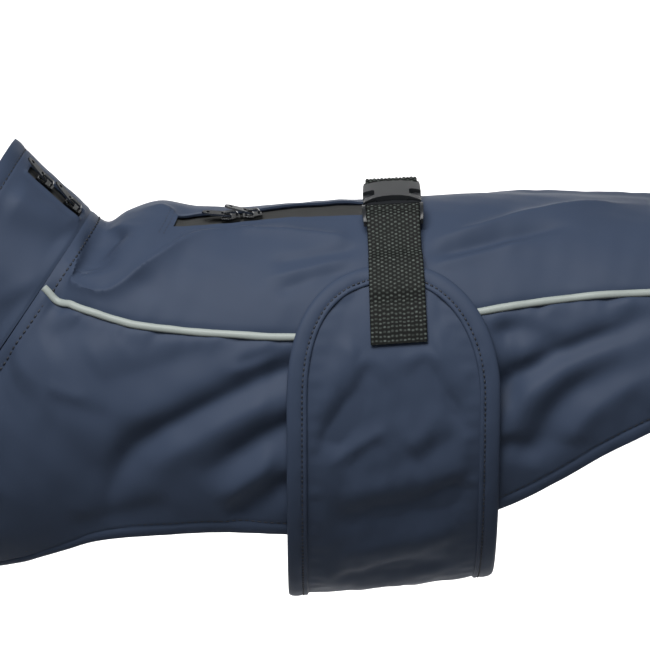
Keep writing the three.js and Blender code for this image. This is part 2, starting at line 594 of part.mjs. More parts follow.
// Edge facing: a band of the same cloth turned over the flap's whole outline.
const FACING_END_STEPS = 10;
const FACING_GAP = 0.45;
function flapOutline() {
  const quarter = spread(0, 1, FACING_END_STEPS).map((t) => FLAP_TOP + FLAP_ROUND * (1 - Math.cos((t * Math.PI) / 2)));
  const farQuarter = quarter.map((girth) => 2 * HALF_GIRTH - girth).reverse();
  const oneWay = [...quarter, ...flapMiddle().slice(1, -1), ...farQuarter];
  const at = (edge) => (girth) => ({ x: FLAP_X + flapEdge(edge, girth), girth });
  const front = oneWay.map(at(FLAP_FRONT));
  const rear = oneWay.map(at(FLAP_REAR)).reverse();
  return [...front, ...rear.slice(1, -1)];
}
function buildFacing() {
  const outline = flapOutline();
  const count = outline.length;
  const inset = outline.map((here, i) => {
    const before = outline[(i + count - 1) % count];
    const after = outline[(i + 1) % count];
    const run = new THREE.Vector2(after.x - before.x, after.girth - before.girth).normalize();
    return { x: here.x + run.y * FACING_WIDTH, girth: here.girth - run.x * FACING_WIDTH };
  });
  const lift = FLAP_LIFT + CLOTH + FACING_GAP;
  const grid = (height) =>
    outline.map((edge, i) => [edge, inset[i]].map((p) => beltPoint(p.x, p.girth, height)));
  const closed = (rows) => rows[0].map((_, j) => rows.map((row) => row[j]));
  add("flap_facing", wall(closed(grid(lift)), closed(grid(lift + FACING_WALL)), { ring: true }), MATERIALS.facing);
}

// The buckle lies on the back, a little towards the left side. Its own frame has x across the belt, y towards the
// right side and z up.
const BUCKLE_GIRTH = 13; // where its middle touches the back
function buckleFrame() {
  const around = aroundAt(BUCKLE_GIRTH);
  const along = alongAt(BELT_X, around);
  const up = outward(along, around);
  const side = vec(1, 0, 0).addScaledVector(up, -up.x).normalize();
  const across = up.clone().cross(side);
  const frame = new THREE.Matrix4().makeBasis(side, across, up);
  return frame.setPosition(coatPoint(along, around, CLOTH));
}
const BUCKLE = buckleFrame();

const SOCKET_HALF = 15.9;
const SOCKET_MOUTH = -11; // front edge of the socket, at its sides
const MOUTH_ARC = 4.4; // how far the middle of that edge is drawn back
const SOCKET_END = 24.5;
const SOCKET_TOP = 8.7;
const SOCKET_STEP = 16.5; // past it the socket is lower, so that the far strap can wrap over its bar
const SOCKET_SLOT = { from: 17.4, to: 20.9 };
const PLUG_SLOT = { from: -16.5, to: -13.2 };
const BAR_UNDER = 2.9; // underside of the socket's bar
const BAR_TOP = 5.4;
const RAIL_INSIDE = WEBBING_WIDTH / 2 + 0.4;
const RAIL_OUTSIDE = RAIL_INSIDE + 1.9;
const WINDOW = { from: -4.5, to: 4.5, depth: 6.6 }; // opening at each side, through which an arm is pressed
const ARM = { inner: 9, outer: 13.8, under: 2.6, top: 5.8 }; // the plug's prongs
const ARM_GAP = 0.4;

const reversed = (outline, side) => (side > 0 ? outline : [...outline].reverse());

function buildSocket() {
  const outline = [
    [-SOCKET_HALF, SOCKET_MOUTH], [-9, SOCKET_MOUTH + 0.7 * MOUTH_ARC], [0, SOCKET_MOUTH + MOUTH_ARC],
    [9, SOCKET_MOUTH + 0.7 * MOUTH_ARC], [SOCKET_HALF, SOCKET_MOUTH], [SOCKET_HALF + 0.3, 6], [SOCKET_HALF, 17],
    [SOCKET_HALF - 0.3, 22], [SOCKET_HALF - 1.8, SOCKET_END], [1.8 - SOCKET_HALF, SOCKET_END], [0.3 - SOCKET_HALF, 22],
    [-SOCKET_HALF, 17], [-SOCKET_HALF - 0.3, 6],
  ];
  const dome = [
    [-17, 1.9], [-14.5, 0.5], [14.5, 0.5], [17, 1.9], [17, 5.6], [15, 7], [11, 8], [5, SOCKET_TOP],
    [-5, SOCKET_TOP], [-11, 8], [-15, 7], [-17, 5.6],
  ];
  let body = plate(outline, 0, 10).intersect(barAlongY(dome, SOCKET_MOUTH - 2, SOCKET_END + 5));
  const overBar = block(-20, 20, SOCKET_STEP, 30, BAR_TOP, 12);
  const underBar = block(-RAIL_INSIDE, RAIL_INSIDE, SOCKET_SLOT.to, 30, -1, BAR_UNDER);
  const slot = block(-RAIL_INSIDE, RAIL_INSIDE, SOCKET_SLOT.from, SOCKET_SLOT.to, -1, 12);
  body = body.subtract(overBar).subtract(underBar).subtract(slot);
  for (const side of [-1, 1]) {
    const [inside, outside] = [SOCKET_HALF + 0.3 - WINDOW.depth, 20].map((x) => side * x);
    const opening = [
      [inside, WINDOW.from + 1.6], [inside, WINDOW.to - 1.2], [inside + side * 1.4, WINDOW.to],
      [outside, WINDOW.to + 1], [outside, WINDOW.from - 1.8], [inside + side * 2, WINDOW.from],
    ];
    body = body.subtract(plate(reversed(opening, side), -1, 12));
    const [fromX, toX] = [side * (ARM.inner - ARM_GAP), side * (ARM.outer + ARM_GAP)].sort((a, b) => a - b);
    const tunnel = block(fromX, toX, SOCKET_MOUTH - 1, WINDOW.from + 3, ARM.under - ARM_GAP, ARM.top + ARM_GAP);
    body = body.subtract(tunnel);
  }
  return body;
}

// The plug: a base that fits the mouth's arc, two sprung arms, and a bar between rails that the near strap wraps over.
function buildPlug() {
  const [front, end] = [SOCKET_MOUTH - 1, -29];
  const outline = [
    [-SOCKET_HALF, front], [-9, front + 0.7 * MOUTH_ARC], [0, front + MOUTH_ARC], [9, front + 0.7 * MOUTH_ARC],
    [SOCKET_HALF, front], [RAIL_OUTSIDE, front - 2.5], [RAIL_OUTSIDE, -22], [RAIL_OUTSIDE - 0.6, end],
    [0.6 - RAIL_OUTSIDE, end], [-RAIL_OUTSIDE, -22], [-RAIL_OUTSIDE, front - 2.5],
  ];
  const profile = [
    [front + MOUTH_ARC + 1, 1.6], [front + MOUTH_ARC + 1, 5.8], [-12.4, 5.9], [-16, 7], [-20, 7], [-24, 6.1],
    [-27.5, 4.2], [end, 2.2], [end, -0.6], [-26, 1], [-22, 1.9],
  ];
  const aboveBar = [
    [-16.4, 12], [-16.4, 4.2], [-16.7, 4.2], [-17.2, 4.9], [-18.2, 5.2], [-19.6, 4.8], [-20.5, 4.1], [-21.6, 4.4],
    [-24, 4.2], [-27, 3], [-28.2, 1.5], [-28.5, -3], [-32, -3], [-32, 12],
  ];
  let body = plate(outline, -2, 10).intersect(barAlongX(profile, -20, 20));
  body = body.subtract(block(-RAIL_INSIDE, RAIL_INSIDE, PLUG_SLOT.from, PLUG_SLOT.to, -3, 12));
  body = body.subtract(barAlongX(aboveBar, -RAIL_INSIDE, RAIL_INSIDE));
  for (const side of [-1, 1]) {
    const arm = [
      [ARM.inner, front - 0.6], [ARM.inner, -3], [11, -3], [11.2, 2.6], [13.2, 3.6], [15.6, 1.6], [15.9, -1.6],
      [ARM.outer, -4.4], [ARM.outer, front - 0.6],
    ].map(([x, y]) => [side * x, y]);
    body = body.add(plate(reversed(arm, side), ARM.under, ARM.top));
  }
  return body;
}

function buildBuckle() {
  const holder = new THREE.Group();
  holder.applyMatrix4(BUCKLE);
  coat.add(holder);
  add("buckle_socket", fromSolid(buildSocket()), MATERIALS.plastic, holder);
  add("buckle_plug", fromSolid(buildPlug()), MATERIALS.plastic, holder);
}

// Webbing. Each strap is a ribbon of rows: threaded rows in the buckle's frame, then rows that follow the coat.
const STRAP_COLUMNS = [-1, -0.34, 0.34, 1];
const COAT_LIFT = CLOTH + SEAM_GAP; // underside of webbing that lies on the coat
const OVER_FACING = FLAP_LIFT + CLOTH + FACING_GAP + FACING_WALL + FACING_GAP;
const OVER_FLAP = FLAP_LIFT + CLOTH + FACING_GAP;
const STRAP_END = girthAt(66);

// Underside of a strap above the coat's inside: it steps up over the flap's facing and down onto the flap.
function strapLift(girth) {
  const up = smooth((Math.abs(girth) - (FLAP_TOP - 9)) / 8);
  const down = smooth((Math.abs(girth) - (FLAP_TOP + 15)) / 8);
  return COAT_LIFT + (OVER_FACING - COAT_LIFT) * up - (OVER_FACING - OVER_FLAP) * down;
}
const strapHalf = (girth) => {
  const share = smooth((Math.abs(girth) - 30) / (STRAP_END - 30));
  return (WEBBING_WIDTH + (WEBBING_END_WIDTH - WEBBING_WIDTH) * share) / 2;
};
const strapMiddle = (girth) => BELT_X + 0.03 * Math.max(Math.abs(girth) - 30, 0);

// A row on the coat: points of both faces for each column.
function coatRow(girth, lift) {
  const place = (height) =>
    STRAP_COLUMNS.map((c) => beltPoint(strapMiddle(girth) + c * strapHalf(girth), girth, height));
  return { inner: place(lift), outer: place(lift + WEBBING) };
}

// Threaded rows from a path of [y, z] points through the middle of the webbing, in the buckle's frame.
function threadedRows(path) {
  return path.map(([y, z], i) => {
    const before = path[Math.max(i - 1, 0)];
    const after = path[Math.min(i + 1, path.length - 1)];
    const run = new THREE.Vector2(after[0] - before[0], after[1] - before[1]).normalize();
    const place = (sign) =>
      STRAP_COLUMNS.map((c) => {
        const [ny, nz] = [-run.y * sign * 0.5 * WEBBING, run.x * sign * 0.5 * WEBBING];
        return vec((c * WEBBING_WIDTH) / 2, y + ny, z + nz).applyMatrix4(BUCKLE);
      });
    return { inner: place(-1), outer: place(1) };
  });
}

function strap(name, rows) {
  const geometry = wall(rows.map((row) => row.inner), rows.map((row) => row.outer));
  add(name, geometry, MATERIALS.webbing);
}

const swapped = (rows) => rows.map(({ inner, outer }) => ({ inner: outer, outer: inner }));

function buildStraps() {
  const plugPath = [
    [-11.4, 0.42], [-13, 0.45], [-14.3, 1.2], [-14.8, 2.9], [-15.1, 4.8], [-16.3, 6.1], [-18.2, 6.35], [-19.6, 6],
    [-20.5, 5.45], [-21.6, 5.75], [-24, 5.4], [-27, 4.2], [-29.8, 1.7], [-32.6, -1.1], [-36, -4.2], [-40, -7.3],
    [-44.5, -10.2],
  ];
  const downSide = spread(BUCKLE_GIRTH + 49, STRAP_END, 14).map((girth) => coatRow(girth, strapLift(girth)));
  strap("near_strap", [...swapped(threadedRows(plugPath)), ...downSide]);

  const under = spread(BUCKLE_GIRTH - 40, BUCKLE_GIRTH - 26, 3).map((girth) => coatRow(girth, COAT_LIFT));
  const socketPath = [
    [21.2, 0.9], [19.4, 2.4], [19.1, 4.3], [19.7, 5.9], [21.4, 6.6], [24.8, 6.6], [26.4, 5.2], [27.5, 2.4], [29.4, -0.8],
  ];
  const second = spread(BUCKLE_GIRTH - 34, BUCKLE_GIRTH - 42, 2).map((girth) => coatRow(girth, COAT_LIFT + WEBBING + SEAM_GAP));
  const downFar = spread(BUCKLE_GIRTH - 48, -STRAP_END, 20).map((girth) => coatRow(girth, strapLift(girth)));
  strap("far_strap", [...swapped(under), ...threadedRows(socketPath), ...second, ...downFar]);
}

// Zips. A tape lies behind each slot, and each slider carries a pull tab on its bridge.
function buildLeashTape() {
  const stations = STATIONS.filter((along) => along >= slotStart - TAPE_PAST && along <= slotEnd + TAPE_PAST);
  const lines = (along) => {
    const [upper, lower] = [slotAt("upper", along), slotAt("lower", along)];
    return [upper - TAPE_MARGIN, upper, (upper + lower) / 2, lower, lower + TAPE_MARGIN];
  };
  const inner = panelGrid(stations, lines, -TAPE_GAP - TAPE_WALL);
  const outer = panelGrid(stations, lines, -TAPE_GAP);
  add("leash_zip_tape", wall(inner, outer), MATERIALS.tape);
}
function buildCollarTape() {
  const shares = COLLAR_RINGS.slice(1, -1);
  const lines = collarLines().slice(0, 4);
  const grid = (lift) => shares.map((share) => lines.map((around) => collarPoint(share, around, lift)));
  add("collar_zip_tape", wall(grid(-TAPE_GAP - TAPE_WALL), grid(-TAPE_GAP)), MATERIALS.tape);
}

const SLIDER = { length: 10.5, width: 7.6, height: 2.6, bridge: 2, bridgeTop: 5.8, window: 4.6, foot: 4.2, footWall: 1.3 };
const HINGE_HEIGHT = 3.7; // pull tab's pin above the tape, in the bridge's window
const PIN_RADIUS = 0.6;
const TAB = { length: 16, width: 5, wall: 1.1, eye: 5.2, arm: 1.3, hole: 1.1 };

// A slider with its bridge, on a tape that lies at z = 0. Its nose points to -x.
function sliderSolid() {
  const half = SLIDER.width / 2;
  const outline = [
    [-SLIDER.length / 2, -half * 0.7], [-1, -half], [SLIDER.length / 2, -half * 0.62],
    [SLIDER.length / 2, half * 0.62], [-1, half], [-SLIDER.length / 2, half * 0.7],
  ];
  const body = plate(outline, SEAM_GAP, SLIDER.height);
  const wide = SLIDER.bridge / 2;
  const { foot, window, bridgeTop } = SLIDER;
  const inside = foot - SLIDER.footWall;
  const sunk = SLIDER.height - 0.5;
  const arch = [
    [-foot, sunk], [-foot, bridgeTop - 1.4], [1.2 - foot, bridgeTop], [foot - 1.2, bridgeTop],
    [foot, bridgeTop - 1.4], [foot, sunk], [inside, sunk], [inside, window], [-inside, window], [-inside, sunk],
  ];
  const shape = new THREE.Shape(arch.map(([x, z]) => new THREE.Vector2(x, z)));
  const geometry = new THREE.ExtrudeGeometry(shape, { depth: 2 * wide, bevelEnabled: false });
  const bridge = toSolid(geometry.rotateX(Math.PI / 2).translate(0, wide, 0));
  return body.add(bridge);
}

// A pull tab about its pin at the origin, pointing to -x: a pin, an eye's two arms and a rounded blade.
function tabSolid() {
  const half = TAB.width / 2;
  const tip = -TAB.length;
  const blade = plate(
    [
      [-TAB.eye, -half], [-TAB.eye, half], [tip + 3, half * 0.86], [tip + 1, half * 0.6], [tip, 0],
      [tip + 1, -half * 0.6], [tip + 3, -half * 0.86],
    ].reverse(),
    -TAB.wall / 2,
    TAB.wall / 2,
  );
  const hole = new THREE.CylinderGeometry(TAB.hole, TAB.hole, 4, 10).rotateX(Math.PI / 2).translate(tip + 3.4, 0, 0);
  const pin = new THREE.CylinderGeometry(PIN_RADIUS, PIN_RADIUS, TAB.width, 8);
  let tab = blade.subtract(toSolid(hole)).add(toSolid(pin));
  for (const side of [-1, 1]) {
    const rows = [half - TAB.arm, half].map((y) => side * y).sort((a, b) => a - b);
    tab = tab.add(block(-TAB.eye - 0.2, 0, rows[0], rows[1], -TAB.wall / 2, TAB.wall / 2));
  }
  return tab;
}

const SLIDER_SEAT = -TAPE_GAP + 0.1;

// Places a slider and its tab in a frame on the tape. lifted is how far the tab stands off the zip, in degrees.
function addSlider(name, frame, lifted) {
  const holder = new THREE.Group();
  holder.applyMatrix4(frame);
  coat.add(holder);
  add(name + "_slider", fromSolid(sliderSolid()), MATERIALS.metal, holder);
  const tab = add(name + "_pull", fromSolid(tabSolid()), MATERIALS.metal, holder);
  tab.position.set(0, 0, HINGE_HEIGHT);
  tab.rotation.set(0, THREE.MathUtils.degToRad(lifted), 0);
}

// Frame on a tape: z out of the cloth and x along the zip from one point to the next.
function tapeFrame(at, ahead, out) {
  const z = out.clone().normalize();
  const x = ahead.clone().sub(at);
  x.addScaledVector(z, -x.dot(z)).normalize();
  return new THREE.Matrix4().makeBasis(x, z.clone().cross(x), z).setPosition(at);
}

const LEASH_SLIDERS = [
  { name: "leash_zip_front", along: 82.5, share: 0.5, lifted: 9 },
  { name: "leash_zip_rear", along: 94.5, share: 0.5, lifted: 21 },
];
const COLLAR_SLIDERS = [
  { name: "collar_zip_low", share: 0.17, lifted: 8 },
  { name: "collar_zip_high", share: 0.52, lifted: 8 },
];
function buildSliders() {
  for (const { name, along, share, lifted } of LEASH_SLIDERS) {
    const around = (a) => slotAt("upper", a) + (slotAt("lower", a) - slotAt("upper", a)) * share;
    const at = coatPoint(along, around(along), SLIDER_SEAT);
    const ahead = coatPoint(along + 4, around(along + 4), SLIDER_SEAT);
    addSlider(name, tapeFrame(at, ahead, outward(along, around(along))), lifted);
  }
  const middle = (COLLAR_SLOT.upper + COLLAR_SLOT.lower) / 2;
  for (const { name, share, lifted } of COLLAR_SLIDERS) {
    const at = collarPoint(share, middle, SLIDER_SEAT);
    const behind = collarPoint(share - 0.05, middle, SLIDER_SEAT);
    const out = collarPoint(share, middle, 5).sub(at);
    addSlider(name, tapeFrame(at, behind, out), lifted);
  }
}

buildBack();
buildSides();
buildPiping();
buildCollar();
buildFlap();
buildFacing();
buildBuckle();
buildStraps();
buildLeashTape();
buildCollarTape();
buildSliders();

export default coat;
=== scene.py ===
"""A dog's raincoat as it is worn: navy coated cloth, reflective piping, a belly flap on a buckled webbing
belt, and two zips with metal pulls. Shapes are worked out in millimetres in the coat's own measures, along
the back and in degrees round the body, and become metres when a mesh is made."""

import bpy
import numpy as np
from mathutils import Matrix


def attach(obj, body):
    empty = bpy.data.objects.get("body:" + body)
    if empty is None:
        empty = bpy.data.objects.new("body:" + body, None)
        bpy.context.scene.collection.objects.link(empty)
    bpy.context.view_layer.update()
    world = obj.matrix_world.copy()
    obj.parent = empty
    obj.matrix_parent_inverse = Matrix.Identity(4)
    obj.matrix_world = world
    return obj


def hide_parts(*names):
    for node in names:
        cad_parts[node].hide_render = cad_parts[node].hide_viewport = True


MM = 0.001
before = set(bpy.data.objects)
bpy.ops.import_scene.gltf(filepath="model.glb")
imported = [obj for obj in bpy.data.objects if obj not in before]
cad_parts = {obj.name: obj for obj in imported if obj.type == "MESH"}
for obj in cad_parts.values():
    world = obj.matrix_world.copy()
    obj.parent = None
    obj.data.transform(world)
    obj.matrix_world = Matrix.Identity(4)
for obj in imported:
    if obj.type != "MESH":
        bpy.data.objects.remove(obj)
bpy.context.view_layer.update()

# Sizes of the cut
CLOTH = 1.2
BACK_LENGTH = 450.0
SEAM_GAP = 0.3  # between pieces that lie on each other
FLAP_LIFT = 2.4
FACING_WIDTH = 10.7
FACING_GAP = 0.45
FACING_LIFT = FLAP_LIFT + CLOTH + FACING_GAP
WEBBING = 1.5
WEBBING_WIDTH, WEBBING_END_WIDTH = 29.0, 30.5
PIPING_RADIUS, PIPING_FLATNESS, PIPING_LIFT = 2.1, 0.7, 0.75
NECK_STITCH, HEM_STITCH, FLAP_STITCH = 6.0, 7.5, 8.2  # from the neck, hem and flap's edge to the stitches
BELT_X = -1.0
MM_PER_DEGREE = 1.7  # round the body, about
PIPING_HOLD = 5.0  # degrees beside the piping in which its cord keeps the cloth straighter
UNDER_PIPING = 0.01  # degrees from the middle of the piping to the panels' edges, which meet under it
CORD_HALF = 1.1  # how much of a panel, from its edge, the cord hides

# along the back, top x, top z, low x, low z, half width
SECTIONS = np.array([
    (0, -171, -6.5, -254, -131, 62), (12, -160, -13, -266, -160, 68), (24, -148, -6.5, -266, -180, 72),
    (40, -132, -1.5, -256, -196, 76), (62, -110, -4.5, -236, -208, 80), (85, -87, -5, -208, -215, 82),
    (120, -52, -2.5, -156, -220, 85), (170, -2, 0, -62, -222, 86), (215, 43, 2.5, 14, -216, 86),
    (260, 88, 2, 84, -204, 85), (310, 138, -0.5, 145, -190, 84), (360, 188, -3, 198, -176, 82),
    (410, 237, -12, 249, -163, 77), (450, 274, -26, 286, -154, 68),
], float)
# along, degrees from the middle of the back
PIPING_LINE = np.array([
    (0, 60.4), (6.2, 57.7), (13, 56.2), (20, 56.9), (27, 58.2), (35, 59.4), (43, 60.1), (57, 60.2),
    (84, 60.6), (109, 61.7), (132, 62.7), (143, 62.8), (220, 58), (245, 56), (281, 54), (340, 53), (450, 50),
], float)
HEM_LINE = np.array([
    (54, 180), (60, 168), (68, 156), (80, 143), (96, 131), (125, 124), (200, 124), (235, 121), (264, 112),
    (281, 106), (300, 101), (330, 95), (370, 90), (410, 86), (430, 81), (443, 74), (450, 62),
], float)
# along, degrees of the upper lip, degrees of the lower lip
LEASH_SLOT = np.array([
    (54, 15, 21), (70, 9.5, 18), (85, 7, 16.5), (103, 5, 15.5), (135, 3, 15), (156, 2.5, 15.5), (172, 3, 15),
], float)
SLOT_BEGIN, SLOT_END = LEASH_SLOT[0, 0], LEASH_SLOT[-1, 0]

# Folds: height, reach above the crest, reach below it, sharpness, then x and degrees along the crest.
LEFT_FOLDS = [
    (-6.2, 10, 11, 2, [-148, -158, -163, -160], [19, 24, 36, 46]),
    (4.8, 4, 7, 1.15, [-169, -174, -176, -171, -160, -150, -134, -113, -99, -88],
     [24, 34, 44, 51, 53, 50, 40, 27, 22, 20]),
    (2.9, 4.5, 7, 1.15, [-91, -78, -58, -36, -17], [20, 22, 24, 27, 30]),
    (-2.2, 6, 8, 2, [-168, -157, -144, -126], [55, 54, 49, 43]),
    (1.3, 3, 5, 1.6, [-134, -123, -120], [3, 12, 19]),
    (-1.5, 4, 6, 1.7, [-70, -41, -16], [38, 35.5, 32]),
    (1.5, 3.5, 5, 1.25, [-72, -50, -36, -16], [44, 41, 38.5, 36]),
    (-1.2, 4, 6, 1.7, [-66, -48, -17], [49, 45, 40]),
    (-1.5, 7, 9, 1.8, [-96, -112, -130, -148, -166], [64, 67.5, 72, 76, 80]),
    (2.4, 10, 9, 1.8, [-55, -71, -89, -102, -124, -142, -165], [66, 71, 76, 79, 85, 86, 87]),
    (-6.8, 7.5, 10, 1.8, [-36, -50, -60, -75, -93, -111, -129, -142, -150, -156, -160],
     [70, 71, 72, 75, 80, 85, 90.5, 96, 103, 112, 122]),
    (2.8, 8, 8, 1.8, [-59, -79, -97, -115, -138], [79.5, 84, 89, 95, 102]),
    (-6.2, 7, 9.5, 1.8, [-38, -50, -60, -75, -89, -110], [86, 87, 88.5, 92.5, 97.5, 106]),
    (3, 6, 6, 1.8, [-61, -70, -84, -100], [96, 99.5, 105, 112]),
    (-4, 6, 8, 2, [-52, -64, -80, -92], [104, 107, 113, 119]),
    (-1.1, 3, 5, 1.8, [-55, -73, -88], [64, 68, 71]),
    (0.9, 3, 3, 1.8, [-60, -76, -94], [67, 71, 74]),
    (-2.2, 7, 10, 2, [-150, -158, -171, -183, -192], [61, 62, 64, 69, 72]),
    (-1.1, 5, 7, 1.7, [-190, -177, -163, -150], [88, 87, 87, 88]),
    (1.2, 3.5, 4, 1.3, [-190, -178, -164], [84, 84, 83]),
    (-1.5, 8, 12, 2, [-196, -182, -168, -155], [93, 97, 102, 106]),
    (1.3, 8, 9, 2, [-166, -155, -148], [75, 68, 64]),
    (3.2, 4.5, 7, 1.3, [16, 45, 66, 89, 112, 135], [32, 27, 21, 15, 9, 5]),
    (-3.4, 6, 5, 1.7, [16, 34, 55, 78, 100], [38, 36, 32.5, 28, 25]),
    (2.2, 4, 5, 1.3, [18, 35, 56, 78], [41, 39.5, 36, 33]),
    (-2.2, 6, 7, 2, [48, 58, 66, 75, 83, 96], [67, 63.5, 63, 65.5, 68, 66]),
    (2.4, 7, 6, 1.8, [53, 69, 85, 109, 130], [73.5, 72, 68.5, 64, 61]),
    (
        -6.4, 8, 10, 1.9,
        [34, 44, 57, 64, 74, 85, 95, 108, 128, 150], [83, 82, 80, 78, 75, 71.5, 70, 67, 63, 59],
    ),
    (2.6, 9, 9, 1.8, [55, 60, 74, 95, 112, 150], [90, 87, 82, 75.5, 72, 66]),
    (-5.2, 9, 10, 2, [72, 77, 82, 89, 97, 109, 140], [106, 99, 92, 87, 83.5, 80, 72]),
    (2.4, 7, 8, 1.8, [92, 97, 106, 124, 160], [101, 95, 90, 84, 76]),
    (-3, 5, 6, 2, [50, 57, 66, 80], [99, 98.5, 99, 104]),
    (-2.8, 6, 8, 2, [58, 60, 62, 63], [58, 68, 80, 94]),
    (2.4, 11, 10, 2, [130, 165, 205], [92, 80, 66]),
    (-2.8, 9, 11, 2, [160, 200, 240], [86, 72, 60]),
    (1.8, 9, 10, 2, [190, 225, 255], [84, 74, 62]),
    (-3, 11, 11, 2, [-200, -215, -226], [82, 100, 122]),
    (2.2, 10, 10, 2, [-212, -232, -243], [92, 116, 138]),
    (-2.6, 9, 9, 2, [-214, -236, -250], [118, 138, 152]),
    (-2, 7, 9, 2, [-120, -150, -186], [112, 118, 126]),
    (1.6, 9, 9, 2, [150, 190, 240], [20, 26, 30]),
]
RIGHT_FOLDS = [
    (-5.2, 10, 11, 2, [-152, -158, -163, -160], [18, 30, 40, 46]),
    (2.6, 5, 7, 1.6, [-170, -173, -163, -140, -112, -84], [30, 43, 51, 43, 33, 26]),
    (4, 9, 9, 2, [45, 95, 150, 205], [16, 18, 16, 11]),
    (-1.6, 6, 6, 2, [20, 60, 110, 160], [27, 30, 28, 24]),
    (-2.2, 6, 8, 2, [-166, -150, -128], [56, 52, 42]),
    (-1.3, 5, 5, 1.8, [-64, -40, -16], [36, 34, 30]),
    (1.2, 5, 5, 1.8, [-60, -38, -16], [42, 39, 35]),
    (-3.2, 10, 10, 2, [-96, -120, -146, -172], [67, 73, 77, 84]),
    (3, 9, 8, 1.8, [-60, -86, -115, -150], [67, 75, 81, 88]),
    (-7, 7, 9, 2, [-50, -76, -110, -144], [75, 78, 86, 97]),
    (2.8, 8, 7, 1.8, [-63, -84, -108, -140], [86, 91, 98, 110]),
    (-6.4, 6, 8, 2, [-50, -72, -98], [94, 98, 108]),
    (2.2, 6, 6, 1.8, [-62, -82, -104], [105, 109, 117]),
    (-2, 6, 8, 2, [-160, -178, -194], [64, 68, 73]),
    (-2.2, 6, 7, 1.8, [18, 50, 84, 120], [42, 37, 31, 27]),
    (-7, 8, 8, 2, [44, 70, 104, 146], [83, 79, 73, 65]),
    (3, 8, 8, 1.8, [56, 78, 108, 150], [91, 87, 82, 76]),
    (-5.4, 8, 8, 2, [62, 84, 112, 150], [106, 99, 93, 86]),
    (2.2, 8, 8, 1.8, [84, 110, 150], [110, 103, 94]),
    (2.6, 11, 11, 2, [140, 176, 214], [88, 78, 67]),
    (-2.6, 11, 11, 2, [170, 206, 246], [82, 69, 58]),
    (-2.6, 11, 11, 2, [-198, -217, -229], [84, 104, 126]),
    (2.2, 10, 10, 2, [-210, -230, -244], [96, 118, 136]),
    (-2.4, 9, 9, 2, [-216, -234, -248], [116, 134, 150]),
    (1.5, 9, 9, 2, [150, 196, 240], [26, 30, 33]),
]
# The same for the flap. Its degrees run down each flank.
LEFT_FLAP_FOLDS = [
    (1.5, 8, 9, 2, [-22, -30, -42], [64, 74, 88]),
    (-2.3, 5, 14, 1.7, [-10, -20, -34, -44], [70, 77, 88, 98]),
    (1.4, 8, 9, 2, [13, 26, 36], [64, 73, 84]),
    (-2.2, 5, 14, 1.7, [12, 19, 28, 38], [68, 75, 83, 94]),
    (1.5, 4, 6, 1.3, [-38, -26, -14, -4], [100, 95.5, 92, 89]),
    (-1.1, 5, 7, 1.7, [-30, -17, -6], [102, 96.5, 92]),
    (1.2, 6, 7, 1.8, [4, 16, 30], [96, 91, 84]),
    (-1.3, 7, 9, 1.8, [8, 22, 36], [103, 97, 92]),
    (1.6, 8, 8, 2, [-36, -10, 22, 40], [110, 107, 105, 100]),
    (-2.0, 8, 8, 2, [-40, -12, 24, 42], [119, 116, 113, 108]),
    (1.4, 9, 9, 2, [-38, 0, 38], [132, 128, 124]),
    (-1.6, 9, 9, 2, [-40, 0, 40], [146, 142, 140]),
]
RIGHT_FLAP_FOLDS = [
    (1.5, 9, 9, 2, [-20, -32, -40], [63, 76, 90]),
    (-2.0, 7, 7, 1.8, [-8, -22, -36], [70, 80, 94]),
    (1.5, 8, 9, 2, [14, 25, 38], [65, 74, 88]),
    (-2.0, 7, 7, 1.8, [11, 20, 34], [72, 82, 95]),
    (1.5, 7, 7, 1.8, [-36, -16, 8], [104, 98, 94]),
    (-1.8, 7, 7, 1.8, [-12, 12, 36], [106, 102, 99]),
    (1.5, 9, 9, 2, [-38, 0, 38], [116, 114, 110]),
    (-1.8, 9, 9, 2, [-40, 0, 40], [130, 127, 122]),
    (1.3, 9, 9, 2, [-40, 0, 40], [150, 146, 142]),
]


# The body's form
def curve(xs, ys, at):
    """A smooth curve through points: cubic pieces, whose slope at a point is the mean of those beside it."""
    xs, ys = np.asarray(xs, float), np.asarray(ys, float)
    span = np.diff(xs)
    slope = np.diff(ys) / span
    tangent = np.empty_like(ys)
    tangent[0], tangent[-1] = slope[0], slope[-1]
    tangent[1:-1] = (slope[:-1] * span[1:] + slope[1:] * span[:-1]) / (span[:-1] + span[1:])
    at = np.clip(at, xs[0], xs[-1])
    i = np.clip(np.searchsorted(xs, at, side="right") - 1, 0, len(xs) - 2)
    h = span[i]
    t = (at - xs[i]) / h
    start = ys[i] * (1 + 2 * t) * (1 - t) ** 2 + tangent[i] * h * t * (1 - t) ** 2
    return start + ys[i + 1] * t * t * (3 - 2 * t) + tangent[i + 1] * h * t * t * (t - 1)


def line(table, along, column=1):
    return curve(table[:, 0], table[:, column], along)


def smooth(t):
    """0 below 0, 1 above 1, and 3 t squared minus 2 t cubed between."""
    t = np.clip(t, 0, 1)
    return t * t * (3 - 2 * t)


def unit(vectors):
    return vectors / np.linalg.norm(vectors, axis=-1, keepdims=True)


def lengths_along(path):
    """Distance along a path of points to each of them."""
    return np.append(0, np.cumsum(np.linalg.norm(np.diff(path, axis=0), axis=-1)))


def at_lengths(where, lengths, rows):
    """The rows of points that stand at lengths, read between them at where."""
    return np.stack([np.interp(where, lengths, rows[:, k]) for k in range(3)], -1)


def spread(*parts):
    """Numbers spread evenly in each part: (from, to, count). The end that two parts share comes once."""
    runs = [np.linspace(*part) for part in parts]
    return np.concatenate([*(run[:-1] for run in runs[:-1]), runs[-1]])


